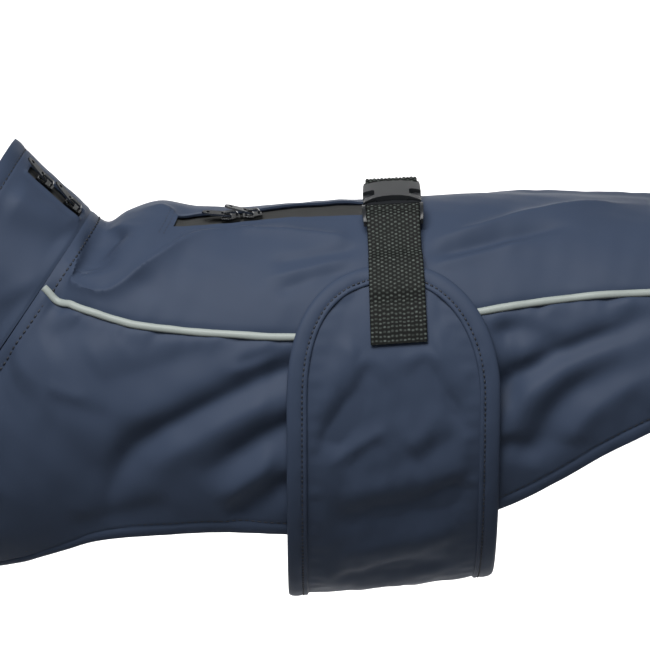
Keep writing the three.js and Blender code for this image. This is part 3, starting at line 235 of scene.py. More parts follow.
def body_point(along, around):
    """Inside of the cloth with no folds: an ellipse in a leaning plane, from the back to the low point."""
    q = np.radians(around)
    down = (1 - np.cos(q)) / 2
    top_x, top_z, low_x, low_z, half = (line(SECTIONS, along, k) for k in range(1, 6))
    return np.stack([top_x + (low_x - top_x) * down, -half * np.sin(q), top_z + (low_z - top_z) * down], -1)


def outward(along, around):
    """Unit normal: across the step down the back and the step round the body."""
    down_back = body_point(along + 0.5, around) - body_point(along - 0.5, around)
    round_body = body_point(along, around + 0.5) - body_point(along, around - 0.5)
    return unit(np.cross(round_body, down_back))


def along_at(x, around):
    """Where the body reaches x at this angle, by halving the back's length 22 times."""
    low = np.zeros(np.broadcast(x, around).shape)
    high = low + BACK_LENGTH
    for _ in range(22):
        middle = (low + high) / 2
        short = body_point(middle, around)[..., 0] < x
        low, high = np.where(short, middle, low), np.where(short, high, middle)
    return (low + high) / 2


BELT_AROUND = np.arange(0.0, 182.0, 2.0)
BELT_RING = body_point(along_at(BELT_X, BELT_AROUND), BELT_AROUND)
BELT_GIRTH = lengths_along(BELT_RING)
HALF_GIRTH = BELT_GIRTH[-1]


def girth_at(around):
    return np.sign(around) * curve(BELT_AROUND, BELT_GIRTH, np.abs(around))


def around_at(girth):
    return np.sign(girth) * curve(BELT_GIRTH, BELT_AROUND, np.abs(girth))


FLAP_TOP = float(girth_at(41.0))
STRAP_END = float(girth_at(66.0))
FLAP_ROUND = 75.0  # length of its rounded end
FLAP_X = -1.5
FRONT, REAR = (57.5, 2.4), (57.0, 2.0)  # reach and squareness of each edge of the flap


def flap_reach(edge, girth):
    """Distance from the flap's middle to an edge: a rounded end, then straight."""
    reach, power = edge
    below = np.minimum(np.abs(girth), 2 * HALF_GIRTH - np.abs(girth)) - FLAP_TOP
    share = np.clip(below / FLAP_ROUND, 0, 1)
    return reach * (1 - (1 - share) ** power) ** (1 / power)


def outside_belt(x, around):
    """How far a point lies outside the belt and the flap that press on the coat."""
    girth = girth_at(around)
    half = WEBBING_END_WIDTH / 2
    front = FLAP_X - np.maximum(flap_reach(FRONT, girth), half)
    rear = FLAP_X + np.maximum(flap_reach(REAR, girth), half)
    return np.maximum(front - x, x - rear)


# Folds and unevenness
def near_path(u, v, path):
    """Distance to a path of straight pieces, share of it at the nearest place, and if the point is below."""
    best, share, below = np.full(u.shape, 1e9), np.zeros(u.shape), np.zeros(u.shape, bool)
    for k, (start, run) in enumerate(zip(path[:-1], np.diff(path, axis=0))):
        t = np.clip(((u - start[0]) * run[0] + (v - start[1]) * run[1]) / (run @ run), 0, 1)
        du, dv = u - start[0] - t * run[0], v - start[1] - t * run[1]
        away = np.hypot(du, dv)
        closer = away < best
        best, below = np.where(closer, away, best), np.where(closer, dv > 0, below)
        share = np.where(closer, (k + t) / (len(path) - 1), share)
    return best, share, below


def folds_at(x, around, folds, ridges=1.0, troughs=1.0):
    """Sum of the folds: each is its height times e to the minus (distance / reach) to its sharpness, and
    fades at the ends of its path."""
    total = np.zeros(x.shape)
    down = np.abs(around) * MM_PER_DEGREE
    for height, above, below, sharp, xs, degrees in folds:
        at = np.linspace(0, len(xs) - 1, 6 * len(xs))
        along_path, down_path = (curve(range(len(xs)), values, at) for values in (xs, degrees))
        path = np.stack([along_path, down_path * MM_PER_DEGREE], -1)
        away, share, lower = near_path(x, down, path)
        ends = smooth(share / 0.25 + 0.12) * smooth((1 - share) / 0.3 + 0.08)
        bell = np.exp(-((away / np.where(lower, below, above)) ** sharp))
        total += height * bell * ends * (ridges if height > 0 else troughs)
    return total


def crumple(u, v, size, seed, waves=11):
    """Unevenness: sine waves about size mm long in seeded directions, added and scaled to about 1."""
    rng = np.random.default_rng(seed)
    turn, phase = rng.uniform(0, 2 * np.pi, (2, waves))
    length = size * rng.uniform(0.7, 1.6, waves)
    total = np.zeros(np.broadcast(u, v).shape)
    for t, p, w in zip(turn, phase, length):
        total += np.sin((u * np.cos(t) + v * np.sin(t)) * 2 * np.pi / w + p)
    return total / waves**0.5


def relief(along, x, around):
    """Height of the worn cloth over the body: folds, pressed flat under belt and flap, and unevenness."""
    outside = outside_belt(x, around)
    ridges, troughs = smooth((outside - 2) / 12), smooth((outside + 14) / 14)
    left = folds_at(x, around, LEFT_FOLDS, ridges, troughs)
    right = folds_at(x, around, RIGHT_FOLDS, ridges, troughs)
    down = around * MM_PER_DEGREE
    loose = 0.4 * crumple(x, down, 55, 3) + 0.14 * crumple(x, down, 19, 5)
    loose *= smooth((180 - np.abs(around)) / 12)
    from_piping = (np.abs(around) - line(PIPING_LINE, along)) / PIPING_HOLD
    held = smooth(np.abs(around) / 4) * (1 - 0.85 * np.exp(-(from_piping**2)))
    folds = np.where(around >= 0, left, right) * held
    return (folds + loose * ridges) * smooth(along / 9)


def coat_point(along, around, lift):
    point = body_point(along, around)
    height = lift + relief(along, point[..., 0], around)
    return point + outward(along, around) * height[..., None]


def belt_point(x, girth, lift):
    """A point over the unfolded body by x and girth, which goes on up the right side."""
    x, girth, lift = np.broadcast_arrays(x, girth, lift)
    wrapped = np.where(girth > HALF_GIRTH, girth - 2 * HALF_GIRTH, girth)
    around = around_at(wrapped)
    along = along_at(x, around)
    return body_point(along, around) + outward(along, around) * lift[..., None]


# Meshes
def mesh_object(name, points, faces, uv=None, sharp=40):
    """An object at the origin from points in millimetres. uv has one row per point."""
    mesh = bpy.data.meshes.new(name)
    mesh.from_pydata((np.asarray(points, float) * MM).tolist(), [], [list(map(int, f)) for f in faces])
    if uv is not None:
        corner = np.empty(len(mesh.loops), np.int32)
        mesh.loops.foreach_get("vertex_index", corner)
        mesh.uv_layers.new(name="cloth").data.foreach_set("uv", np.asarray(uv, np.float32)[corner].ravel())
    mesh.polygons.foreach_set("use_smooth", np.ones(len(mesh.polygons), bool))
    mesh.set_sharp_from_angle(angle=np.radians(sharp))
    obj = bpy.data.objects.new(name, mesh)
    bpy.context.scene.collection.objects.link(obj)
    return obj


def facing_out(points, faces):
    """The faces turned round if the volume they enclose comes out negative."""
    faces = np.asarray(faces)
    a, b, c, d = (points[faces[:, k]] for k in range(4))
    volume = np.einsum("ij,ij->", a, np.cross(b, c)) + np.einsum("ij,ij->", a, np.cross(c, d))
    return faces if volume > 0 else faces[:, ::-1]


def cell_corners(ids):
    """The four corners of each cell of a grid of point numbers."""
    return [ids[:-1, :-1], ids[1:, :-1], ids[1:, 1:], ids[:-1, 1:]]


def point_ids(rows, columns, ring):
    """Numbers of a grid's points. In a ring the first column comes again after the last."""
    ids = np.arange(rows * columns).reshape(rows, columns)
    return np.concatenate([ids, ids[:, :1]], axis=1) if ring else ids


def shell(name, outer, inner, kept=None, ring=False, uv=None, sharp=40):
    """A closed wall between two grids of points, open where kept is false. uv replaces its map in metres."""
    ids = point_ids(*outer.shape[:2], ring)
    kept = np.ones((ids.shape[0] - 1, ids.shape[1] - 1), bool) if kept is None else kept
    corners = cell_corners(ids)
    beyond = ids.max() + 1
    faces = [np.stack(corners, -1)[kept], np.stack(corners[::-1], -1)[kept] + beyond]
    around = np.pad(kept, 1)
    if ring:
        around[:, 0], around[:, -1] = around[:, -2], around[:, 1]
    beside = [around[1:-1, :-2], around[2:, 1:-1], around[1:-1, 2:], around[:-2, 1:-1]]
    for k, neighbour in enumerate(beside):
        edge = kept & ~neighbour
        p, q = corners[k][edge], corners[(k + 1) % 4][edge]
        faces.append(np.stack([q, p, p + beyond, q + beyond], -1))
    faces = np.concatenate(faces)
    points = np.concatenate([outer.reshape(-1, 3), inner.reshape(-1, 3)])
    used, faces = np.unique(faces, return_inverse=True)
    faces = faces.reshape(-1, 4)
    uv = metre_map(outer) if uv is None else uv
    uv = np.tile(uv.reshape(-1, 2), (2, 1))[used]
    return mesh_object(name, points[used], facing_out(points[used], faces), uv, sharp)


def along_grid(points):
    """Arc length in mm across the rows and down the columns of a grid."""
    down, across = (np.cumsum(np.linalg.norm(np.diff(points, axis=k), axis=-1), axis=k) for k in (0, 1))
    return np.pad(across, ((0, 0), (1, 0))), np.pad(down, ((1, 0), (0, 0)))


def metre_map(points):
    return np.stack(along_grid(points), -1) * MM


def swept(name, rings, sharp=40, closed=False):
    """A rod from rings of points, capped at both ends, or closed on itself."""
    ids = point_ids(*rings.shape[:2], True)
    if closed:
        ids = np.concatenate([ids, ids[:1]])
    faces = np.stack(cell_corners(ids), -1).reshape(-1, 4)
    points = rings.reshape(-1, 3)
    faces = facing_out(points, faces)
    turned = faces[0][0] != 0
    polygons = faces.tolist()
    if not closed:
        first, last = ids[0, :-1].tolist(), ids[-1, :-1].tolist()
        polygons += [first[::-1], last] if turned else [first, last[::-1]]
    return mesh_object(name, points, polygons, metre_map(rings).reshape(-1, 2), sharp)


def dress(obj, node, slot, body="coat"):
    """Gives a piece its slot's finish, hides its CAD node, and puts the piece on its body."""
    obj.data.materials.append(FINISHES[slot])
    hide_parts(node)
    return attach(obj, body)


def sheet_on(point, u, v, low, high, name, node, slot, **options):
    """A closed sheet on the grid (u, v) of a surface, between two heights over it."""
    return dress(shell(name, point(u, v, high), point(u, v, low), **options), node, slot)


# Materials
def node_group(name, inputs, output):
    group = bpy.data.node_groups.new(name, "ShaderNodeTree")
    for label, value in inputs.items():
        socket = group.interface.new_socket(label, in_out="INPUT", socket_type="NodeSocketFloat")
        socket.default_value = value
    group.interface.new_socket(output, in_out="OUTPUT", socket_type="NodeSocketFloat")
    return group, group.nodes.new("NodeGroupInput"), group.nodes.new("NodeGroupOutput")


def plug(tree, socket, value):
    """Gives a node's input a value, or the output of another node."""
    if isinstance(value, bpy.types.NodeSocket):
        tree.links.new(value, socket)
    else:
        socket.default_value = value


def add_node(tree, kind, **inputs):
    node = tree.nodes.new("ShaderNode" + kind)
    for label, value in inputs.items():
        plug(tree, node.inputs[label], value)
    return node


def math_node(tree, operation, *values):
    node = add_node(tree, "Math")
    node.operation = operation
    for socket, value in zip(node.inputs, values):
        plug(tree, socket, value)
    return node.outputs[0]


def cloth_ridges(group, scale):
    """The cloth map, and ridges across and along it: the sine of each axis times scale, without its sign."""
    uv = add_node(group, "UVMap")
    uv.uv_map = "cloth"
    split = add_node(group, "SeparateXYZ", Vector=uv.outputs["UV"])
    angles = [math_node(group, "MULTIPLY", split.outputs[axis], scale) for axis in "XY"]
    across, along = (math_node(group, "ABSOLUTE", math_node(group, "SINE", angle)) for angle in angles)
    return uv.outputs["UV"], across, along


def build_weave_group():
    """Plain weave: two sets of rounded ridges, threads across and along, added to one height."""
    group, given, result = node_group("plain weave", {"Threads": 2400.0}, "Height")
    _, across, along = cloth_ridges(group, given.outputs["Threads"])
    group.links.new(math_node(group, "ADD", across, along), result.inputs["Height"])
    return group


def build_mottle_group():
    """Slow uneven shade over the piece, between 1 minus Strength and 1 plus Strength."""
    group, given, result = node_group("uneven shade", {"Scale": 22.0, "Strength": 0.08}, "Shade")
    place = add_node(group, "TexCoord").outputs["Object"]
    noise = add_node(group, "TexNoise", Detail=3.0, Vector=place, Scale=given.outputs["Scale"])
    centred = math_node(group, "SUBTRACT", noise.outputs["Fac"], 0.5)
    contrast = math_node(group, "MULTIPLY", given.outputs["Strength"], 4.0)
    swing = math_node(group, "MULTIPLY", centred, contrast)
    group.links.new(math_node(group, "ADD", swing, 1.0), result.inputs["Shade"])
    return group


def build_painted_highlight_group():
    """Painted highlights on webbing: a lighter colour on the tops of the bumps of its own map, uneven from
    one to the next.
    """
    group, given, result = node_group("webbing painted highlights", {"Fill": 0.3}, "Mask")
    uv, across, along = cloth_ridges(group, float(np.pi))
    across, along = math_node(group, "POWER", across, 0.5), math_node(group, "POWER", along, 1.6)
    bump = math_node(group, "MULTIPLY", across, along)
    noise = add_node(group, "TexNoise", Scale=0.9, Vector=uv)
    uneven = math_node(group, "ADD", noise.outputs["Fac"], given.outputs["Fill"])
    mask = math_node(group, "POWER", math_node(group, "MULTIPLY", bump, uneven), 3.0)
    group.links.new(add_node(group, "Clamp", Value=mask).outputs[0], result.inputs["Mask"])
    return group


WEAVE = build_weave_group()
PAINTED_HIGHLIGHTS = build_painted_highlight_group()
MOTTLE = build_mottle_group()


def place_group(tree, group, **values):
    node = add_node(tree, "Group")
    node.node_tree = group
    for label, value in values.items():
        node.inputs[label].default_value = value
    return node.outputs[0]


def shader_of(tree):
    return next(n for n in tree.nodes if n.type == "BSDF_PRINCIPLED")


def finish(name, colour, roughness, metallic=0.0, mottle=None, weave=None, specular=0.5):
    """A material with one shader. mottle is (scale, strength), weave is (threads, bump strength)."""
    material = bpy.data.materials.new(name)
    material.use_nodes = True
    tree = material.node_tree
    sockets = shader_of(tree).inputs
    sockets["Base Color"].default_value = (*colour, 1)
    sockets["Roughness"].default_value = roughness
    sockets["Metallic"].default_value = metallic
    sockets["Specular IOR Level"].default_value = specular
    if mottle:
        scaled = add_node(tree, "VectorMath")
        scaled.operation = "SCALE"
        scaled.inputs[0].default_value = colour
        plug(tree, scaled.inputs["Scale"], place_group(tree, MOTTLE, Scale=mottle[0], Strength=mottle[1]))
        plug(tree, sockets["Base Color"], scaled.outputs[0])
    if weave:
        height = place_group(tree, WEAVE, Threads=weave[0])
        bump = add_node(tree, "Bump", Strength=weave[1], Distance=0.1 * MM, Height=height)
        plug(tree, sockets["Normal"], bump.outputs["Normal"])
    return material


def webbing_finish(yarn, highlight_colour):
    """Dark yarn with painted highlights, a lighter colour on top of its bumps."""
    material = finish("webbing yarn", yarn, 0.65, specular=0.1)
    tree = material.node_tree
    mix = add_node(tree, "Mix")
    mix.data_type = "RGBA"
    mix.inputs["A"].default_value = (*yarn, 1)
    mix.inputs["B"].default_value = (*highlight_colour, 1)
    # the mask paints highlights on the tops of the bumps
    plug(tree, mix.inputs["Factor"], place_group(tree, PAINTED_HIGHLIGHTS))
    plug(tree, shader_of(tree).inputs["Base Color"], mix.outputs["Result"])
    return material


THREAD_FINISH = finish("navy thread", (0.006, 0.009, 0.017), 0.6)
GREY_THREAD = finish("grey thread", (0.09, 0.095, 0.09), 0.6)
NAVY, FILM = (0.0335, 0.0465, 0.077), (0.25, 0.28, 0.265)
BLACK, GREY = (0.014, 0.0155, 0.0175), (0.034, 0.0345, 0.034)
FINISHES = {
    "shell_cloth": finish(
        "navy coated cloth", NAVY, 0.5, specular=0.07, mottle=(18, 0.05), weave=(9000, 0.1)
    ),
    "reflective_piping": finish(
        "reflective film", FILM, 0.45, specular=0.3, mottle=(60, 0.05), weave=(5000, 0.1)
    ),
    # the second colour is a painted highlight on the tops of the webbing's bumps
    "webbing": webbing_finish((0.004, 0.0046, 0.0042), (0.112, 0.132, 0.12)),
    "buckle_plastic": finish("satin black plastic", BLACK, 0.33, specular=0.27, mottle=(300, 0.04)),
    "zip_tape": finish("zip tape", GREY, 0.55, specular=0.12, mottle=(80, 0.06), weave=(7000, 0.15)),
    "zip_metal": finish("nickel plate", (0.2, 0.205, 0.21), 0.24, metallic=1.0, mottle=(400, 0.1)),
}


# Cloth panels
def edge_fade(distance, reach):
    return np.exp(-((distance / reach) ** 2))


def panel(name, node, along, around, extra, kept=None):
    """A coat panel on the grid (along, around): a wall CLOTH thick on the worn body, moved out by extra."""
    return sheet_on(coat_point, along, around, extra, CLOTH + extra, name, node, "shell_cloth", kept=kept)


def back_lines(along, cells):
    """Degrees of each column at the stations, spread evenly right of the slot, across it and left of it."""
    rows = along[:, None]
    edge = line(PIPING_LINE, rows) - UNDER_PIPING
    upper, lower = line(LEASH_SLOT, rows, 1), line(LEASH_SLOT, rows, 2)
    zones = [(-edge, upper), (upper, lower), (lower, edge)]
    steps = [np.linspace(0, 1, n + 1)[None, 1 if k else 0 :] for k, n in enumerate(cells)]
    return np.concatenate([a + (b - a) * t for (a, b), t in zip(zones, steps)], axis=1)


def seam_puckers(along, distance, seed, height):
    """Ripples across a sewn seam that die away from it: long ones, and short ones of a third the height."""
    distance = np.maximum(distance, 0)
    ripples = crumple(along, 0.5 * distance, 24, seed, 7) + 0.35 * crumple(along, 0 * along, 9, seed + 1, 7)
    return height * ripples * np.exp(-((distance / 8) ** 1.3)) * smooth(distance / 2)


def piped_edge(along, from_edge, depth, reach, seed, puckers):
    """A panel dips under the cord, but not at the neck, and puckers beside it."""
    dip = depth * edge_fade(from_edge, reach) * smooth(along / 5)
    return seam_puckers(along, from_edge - CORD_HALF, seed, puckers) - dip


def build_back():
    cells = (80, 10, 56)  # right of the slot, across it and left of it
    stations = spread((0, SLOT_BEGIN, 46), (SLOT_BEGIN, SLOT_END, 86), (SLOT_END, BACK_LENGTH, 150))
    around = back_lines(stations, cells)
    along = np.broadcast_to(stations[:, None], around.shape)
    base = body_point(along, around)
    across, _ = along_grid(base)
    from_edge = np.minimum(across, across[:, -1:] - across)
    extra = piped_edge(along, from_edge, 1.1, 3.0, 21, 0.2)
    extra -= 0.4 * edge_fade(along, 1.2) + 0.3 * edge_fade(along - NECK_STITCH, 0.8)
    # the zip's lips: the upper stands up and the lower lies flat, with a sewn line round both
    in_slot = smooth((along - SLOT_BEGIN + 4) / 8) * smooth((SLOT_END + 12 - along) / 8)
    in_slot *= 0.15 + 0.85 * smooth((outside_belt(base[..., 0], around) - 1) / 8)
    above = across[:, cells[0] : cells[0] + 1] - across
    below = across - across[:, cells[0] + cells[1] : cells[0] + cells[1] + 1]
    upper_lip = np.where(above >= 0, np.exp(-((above / 3.2) ** 2)), 0)
    lower_lip = np.where(below >= 0, np.exp(-((below / 2.2) ** 2)), 0)
    sewn = edge_fade(above - 4.2, 0.8) + edge_fade(below - 3.4, 0.8)
    extra += in_slot * (1.0 * upper_lip + 0.35 * lower_lip - 0.2 * sewn)
    kept = np.ones((len(stations) - 1, sum(cells)), bool)
    middle = (stations[1:] + stations[:-1]) / 2
    opening = (middle > SLOT_BEGIN) & (middle < SLOT_END)
    kept[np.ix_(opening, range(cells[0], cells[0] + cells[1]))] = False
    return panel("back_cloth", "back_panel", along, around, extra, kept)


def build_side(name, node, side, seed):
    """From the piping to the hem, whose turned edge is thick and stitched. In front the two sides meet."""
    rows = spread((0, 60, 50), (60, BACK_LENGTH, 230))[:, None]
    top = line(PIPING_LINE, rows) + UNDER_PIPING
    low = line(HEM_LINE, rows) - 0.01
    around = side * (top + (low - top) * np.linspace(0, 1, 119)[None])
    along = np.broadcast_to(rows, around.shape)
    across, _ = along_grid(body_point(along, around))
    from_low = across[:, -1:] - across
    extra = piped_edge(along, across, 1.2, 4.0, seed, 1.15)
    extra -= 0.4 * edge_fade(along, 1.2) + 0.3 * edge_fade(along - NECK_STITCH, 0.8) * smooth(across / 4)
    hem = smooth((along - 50) / 10)
    extra += hem * (0.5 * edge_fade(from_low - 3.4, 3.0) - 0.45 * edge_fade(from_low - HEM_STITCH, 0.9))
    extra -= (1 - hem) * 0.7 * edge_fade(from_low, 1.2)
    return panel(name, node, along, around, extra)


back_cloth = build_back()
left_cloth = build_side("left_side_cloth", "left_side", 1, 31)
right_cloth = build_side("right_side_cloth", "right_side", -1, 41)


# Piping
def build_piping(name, node, side):
    """A flattened round cord along the seam: an ellipse carried along it, with a slightly uneven width."""
    stations = np.linspace(0.8, BACK_LENGTH - 0.4, 560)
    around = side * line(PIPING_LINE, stations)
    centre = coat_point(stations, around, np.full(stations.shape, PIPING_LIFT))
    up = outward(stations, around)
    run = unit(np.gradient(centre, axis=0))
    across = unit(np.cross(run, up))
    up = np.cross(across, run)
    turn = np.linspace(0, 2 * np.pi, 17)[:-1, None]
    wide = PIPING_RADIUS * (1 + 0.03 * crumple(stations, 0 * stations, 14, 8))[:, None, None]
    ellipse = across[:, None] * np.cos(turn) + PIPING_FLATNESS * up[:, None] * np.sin(turn)
    rings = centre[:, None] + wide * ellipse
    return dress(swept(name, rings), node, "reflective_piping")


build_piping("left_piping_cord", "left_piping", 1)
build_piping("right_piping_cord", "right_piping", -1)


# Collar
COLLAR_TOP, COLLAR_LOW = (58.0, -0.727, 0.686), (50.0, -0.86, 0.51)  # height, and direction ahead and up
COLLAR_HEIGHT, NECK_MM_PER_DEGREE = 55.0, 1.05
COLLAR_FOOT = (0.007, 0.058)  # share of the height at which the cloth begins, at the top and at the low point
COLLAR_SLOT = (0.06, 0.72, 8.5, 19.5)  # shares where the slot begins and ends, degrees of its two lips
# height, reach, then shares of the height and degrees along the crest
COLLAR_FOLDS = [
    (2.4, 0.10, [0.02, 0.22, 0.62], [22, 30, 38]),
    (-2.4, 0.12, [0.02, 0.3, 0.7], [36, 46, 54]),
    (1.2, 0.07, [0.0, 0.15, 0.3], [60, 66, 76]),
    (-1.4, 0.09, [0.05, 0.35, 0.75], [74, 80, 92]),
    (2.0, 0.12, [0.05, 0.4, 0.8], [-30, -38, -48]),
    (-2.0, 0.12, [0.1, 0.5, 0.9], [-60, -70, -78]),
    (1.4, 0.1, [0.0, 0.3, 0.7], [-92, -100, -112]),
    (-2.2, 0.14, [0.1, 0.5, 0.9], [88, 96, 104]),
    (1.5, 0.12, [0.05, 0.45, 0.9], [128, 136, 140]),
    (-1.6, 0.12, [0.05, 0.45, 0.9], [-132, -140, -150]),
]


def collar_point(from_foot, around, lift):
    """The collar: a ring that stands up from the neck seam and narrows a little, with its own folds."""
    blend = (1 - np.cos(np.radians(around))) / 2
    foot = COLLAR_FOOT[0] + (COLLAR_FOOT[1] - COLLAR_FOOT[0]) * smooth(np.abs(around) / 180)
    share = foot + (1 - foot) * from_foot
    height, ahead, up = (COLLAR_TOP[k] + (COLLAR_LOW[k] - COLLAR_TOP[k]) * blend for k in range(3))
    rise = unit(np.stack([ahead, 0 * ahead, up], -1))
    point = body_point(0 * around, around) + rise * (share * height)[..., None]
    point[..., 1] *= 1 - 0.08 * share
    ring = body_point(0 * around, around + 0.5) - body_point(0 * around, around - 0.5)
    out = -unit(np.cross(ring, rise))
    fold = np.zeros(share.shape)
    for tall, reach, shares, degrees in COLLAR_FOLDS:
        t = np.linspace(0, 1, 14)
        path = np.stack([curve([0, 0.5, 1], shares, t), curve([0, 0.5, 1], degrees, t) / 90], -1)
        away, _, _ = near_path(share, around / 90, path)
        fold += tall * np.exp(-((away / reach) ** 2))
    up, across = share * COLLAR_TOP[0], around * 1.1
    fold += 0.35 * crumple(up, across, 40, 17) + 0.12 * crumple(up, across, 15, 19)
    return point + out * (lift + fold * smooth(share / 0.15))[..., None]


def build_collar():
    begin, end, upper, lower = COLLAR_SLOT
    around = np.concatenate([np.linspace(upper, lower, 11), np.linspace(lower, upper + 360, 231)[1:-1]])
    around = np.where(around > 180, around - 360, around)
    shares = spread((-0.012, begin, 8), (begin, end, 30), (end, 1, 20))
    around, share = np.meshgrid(around, shares)
    from_foot, from_top = share * COLLAR_HEIGHT, (1 - share) * COLLAR_HEIGHT
    lift = 0.5 * edge_fade(from_top - 3, 3) - 0.4 * edge_fade(from_top - 8, 0.9)
    lift -= 0.5 * edge_fade(from_foot + 0.6, 1.2)
    beside = np.minimum(np.abs(around - upper), np.abs(around - lower)) * NECK_MM_PER_DEGREE
    in_slot = smooth((share - begin + 0.04) / 0.04) * smooth((end + 0.04 - share) / 0.04)
    lift += in_slot * (0.8 * edge_fade(beside, 2.2) - 0.3 * edge_fade(beside - 3.5, 0.8))
    middle = (shares[1:] + shares[:-1]) / 2
    kept = np.ones((len(shares) - 1, around.shape[1]), bool)
    kept[np.ix_((middle > begin) & (middle < end), range(10))] = False
    names = "collar_cloth", "collar", "shell_cloth"
    return sheet_on(collar_point, share, around, lift + 0.2, lift + 1.6, *names, kept=kept, ring=True)


collar_cloth = build_collar()


# Belly flap and its facing
def flap_edge(edge, girth):
    return FLAP_X + flap_reach(edge, girth) * (-1 if edge is FRONT else 1)


def flap_girths(begin, at_end, in_middle):
    """Girths from one round end of the flap to the other, starting begin from its edge and closer there."""
    down = FLAP_TOP + begin + (FLAP_ROUND - begin) * (1 - np.cos(np.linspace(0, np.pi / 2, at_end)))
    middle = np.linspace(FLAP_TOP + FLAP_ROUND, 2 * HALF_GIRTH - FLAP_TOP - FLAP_ROUND, in_middle)
    return np.concatenate([down, middle[1:-1], (2 * HALF_GIRTH - down)[::-1]])


def build_flap():
    girth = flap_girths(0.4, 60, 210)[:, None]
    share = np.linspace(0, 1, 91)[None]
    front, rear = flap_edge(FRONT, girth), flap_edge(REAR, girth)
    x = front + (rear - front) * share
    girth = np.broadcast_to(girth, x.shape)
    around = np.abs(around_at(np.where(girth > HALF_GIRTH, 2 * HALF_GIRTH - girth, girth)))
    inside = np.minimum(x - front, rear - x) * 0.9
    left, right = folds_at(x, around, LEFT_FLAP_FOLDS), folds_at(x, around, RIGHT_FLAP_FOLDS)
    fold = np.where(girth < HALF_GIRTH, left, right)
    fold += 0.5 * crumple(x, girth, 38, 61) + 0.16 * crumple(x, girth, 14, 63)
    fold = np.maximum(1.15 * fold, -2.2) * smooth((inside - FACING_WIDTH + 3) / 12)
    fold += 0.2 * crumple(girth, 0 * girth, 10, 65) * edge_fade(inside - FACING_WIDTH - 3, 4)
    below_strap = smooth((np.minimum(girth, 2 * HALF_GIRTH - girth) - STRAP_END - 1) / 10)
    fold *= np.maximum(smooth((np.abs(x - BELT_X - 1.5) - 16) / 9), below_strap)
    low, high = FLAP_LIFT + fold, FLAP_LIFT + CLOTH + fold
    return sheet_on(belt_point, x, girth, low, high, "flap_cloth", "belly_flap", "shell_cloth")


def flap_outline(at_end, in_middle):
    """Rows of (x, girth) round the flap's edge, and the unit vector that points into the flap at each."""
    one_way = flap_girths(0, at_end, in_middle)
    front = np.stack([flap_edge(FRONT, one_way), one_way], -1)
    rear = np.stack([flap_edge(REAR, one_way), one_way], -1)[::-1]
    outline = np.concatenate([front, rear[1:-1]])
    run = unit(np.roll(outline, -1, axis=0) - np.roll(outline, 1, axis=0))
    return outline, np.stack([run[:, 1], -run[:, 0]], -1)


# The facing's section: distance in from the flap's edge, and height over the coat's inside.
FACING_SECTION = np.array([
    (11.0, 3.5), (10.9, 4.3), (10.3, 4.85), (9.5, 4.95), (8.8, 4.8), (8.2, 4.45), (7.6, 4.75), (6.6, 5.05),
    (5.0, 5.25), (3.2, 5.2), (1.7, 4.95), (0.6, 4.45), (0.0, 3.8), (-0.15, 3.1), (0.1, 2.5), (0.8, 2.15),
    (3.0, 2.1), (7.5, 2.15), (8.5, 3.0), (9.8, 3.3),
])


def build_facing():
    outline, into = flap_outline(60, 170)
    inset, lift = FACING_SECTION[:, 0], FACING_SECTION[:, 1]
    where = outline[:, None] + into[:, None] * inset[None, :, None]
    run = lengths_along(outline)
    puff = 0.16 * crumple(run, 0 * run, 12, 71)[:, None] * edge_fade(inset - 8, 4)[None] * (lift > 4.2)[None]
    rings = belt_point(where[..., 0], where[..., 1], lift[None] + puff)
    return dress(swept("flap_facing_band", rings, closed=True, sharp=60), "flap_facing", "shell_cloth")


flap_cloth = build_flap()
facing_band = build_facing()


# Belt
BUCKLE_GIRTH = 13.0  # where the buckle's middle touches the back
BUCKLE_SPAN = 30.0  # girth to which the buckle holds the webbing straight


def buckle_frame():
    """Origin and axes of the buckle on top of the back: across the belt, towards the right side, and up."""
    around = around_at(np.array(BUCKLE_GIRTH))
    along = along_at(np.array(BELT_X), around)
    up = outward(along, around)
    side = unit(np.array([1.0, 0, 0]) - up * up[0])
    origin = coat_point(along, around, np.array(CLOTH))
    return origin, np.stack([side, np.cross(up, side), up])


BUCKLE_ORIGIN, BUCKLE_AXES = buckle_frame()
# The webbing's middle in the buckle's frame, round the plug's bar and round the socket's: to the right, up.
PLUG_PATH = [
    (-11.4, 0.42), (-13, 0.45), (-14.3, 1.2), (-14.8, 2.9), (-15.1, 4.8), (-16.3, 6.1), (-18.2, 6.35),
    (-19.6, 6), (-20.5, 5.45), (-21.6, 5.75), (-24, 5.4), (-27, 4.2), (-29.8, 1.7), (-32.6, -1.1),
    (-36, -4.2), (-40, -7.3), (-44.5, -10.2),
]
SOCKET_PATH = [
    (21.2, 0.9), (19.4, 2.4), (19.1, 4.3), (19.7, 5.9), (21.4, 6.6), (24.8, 6.6), (26.4, 5.2), (27.5, 2.4),
    (29.4, -0.8),
]
YARNS, YARN_ROW = 14, 2.4  # ridges across the webbing, and mm from one row of bumps to the next


def buckle_points(path):
    path = np.array(path)
    return BUCKLE_ORIGIN + path[:, :1] * BUCKLE_AXES[1] + path[:, 1:] * BUCKLE_AXES[2]


def strap_lift(girth):
    """Underside of the webbing: on the coat, up over the flap's facing, and down on the flap."""
    away = np.abs(girth)
    up, down = smooth((away - FLAP_TOP + 9) / 8), smooth((away - FLAP_TOP - 15) / 8)
    on_coat, over_facing, on_flap = CLOTH + SEAM_GAP, FACING_LIFT + 1.0 + FACING_GAP, FACING_LIFT
    return on_coat + (over_facing - on_coat) * up - (over_facing - on_flap) * down


def strap_middle(girth):
    return BELT_X + 0.03 * np.maximum(np.abs(girth) - BUCKLE_SPAN, 0)


def coat_middle(girth, lift):
    return belt_point(strap_middle(girth), girth, lift + WEBBING / 2)


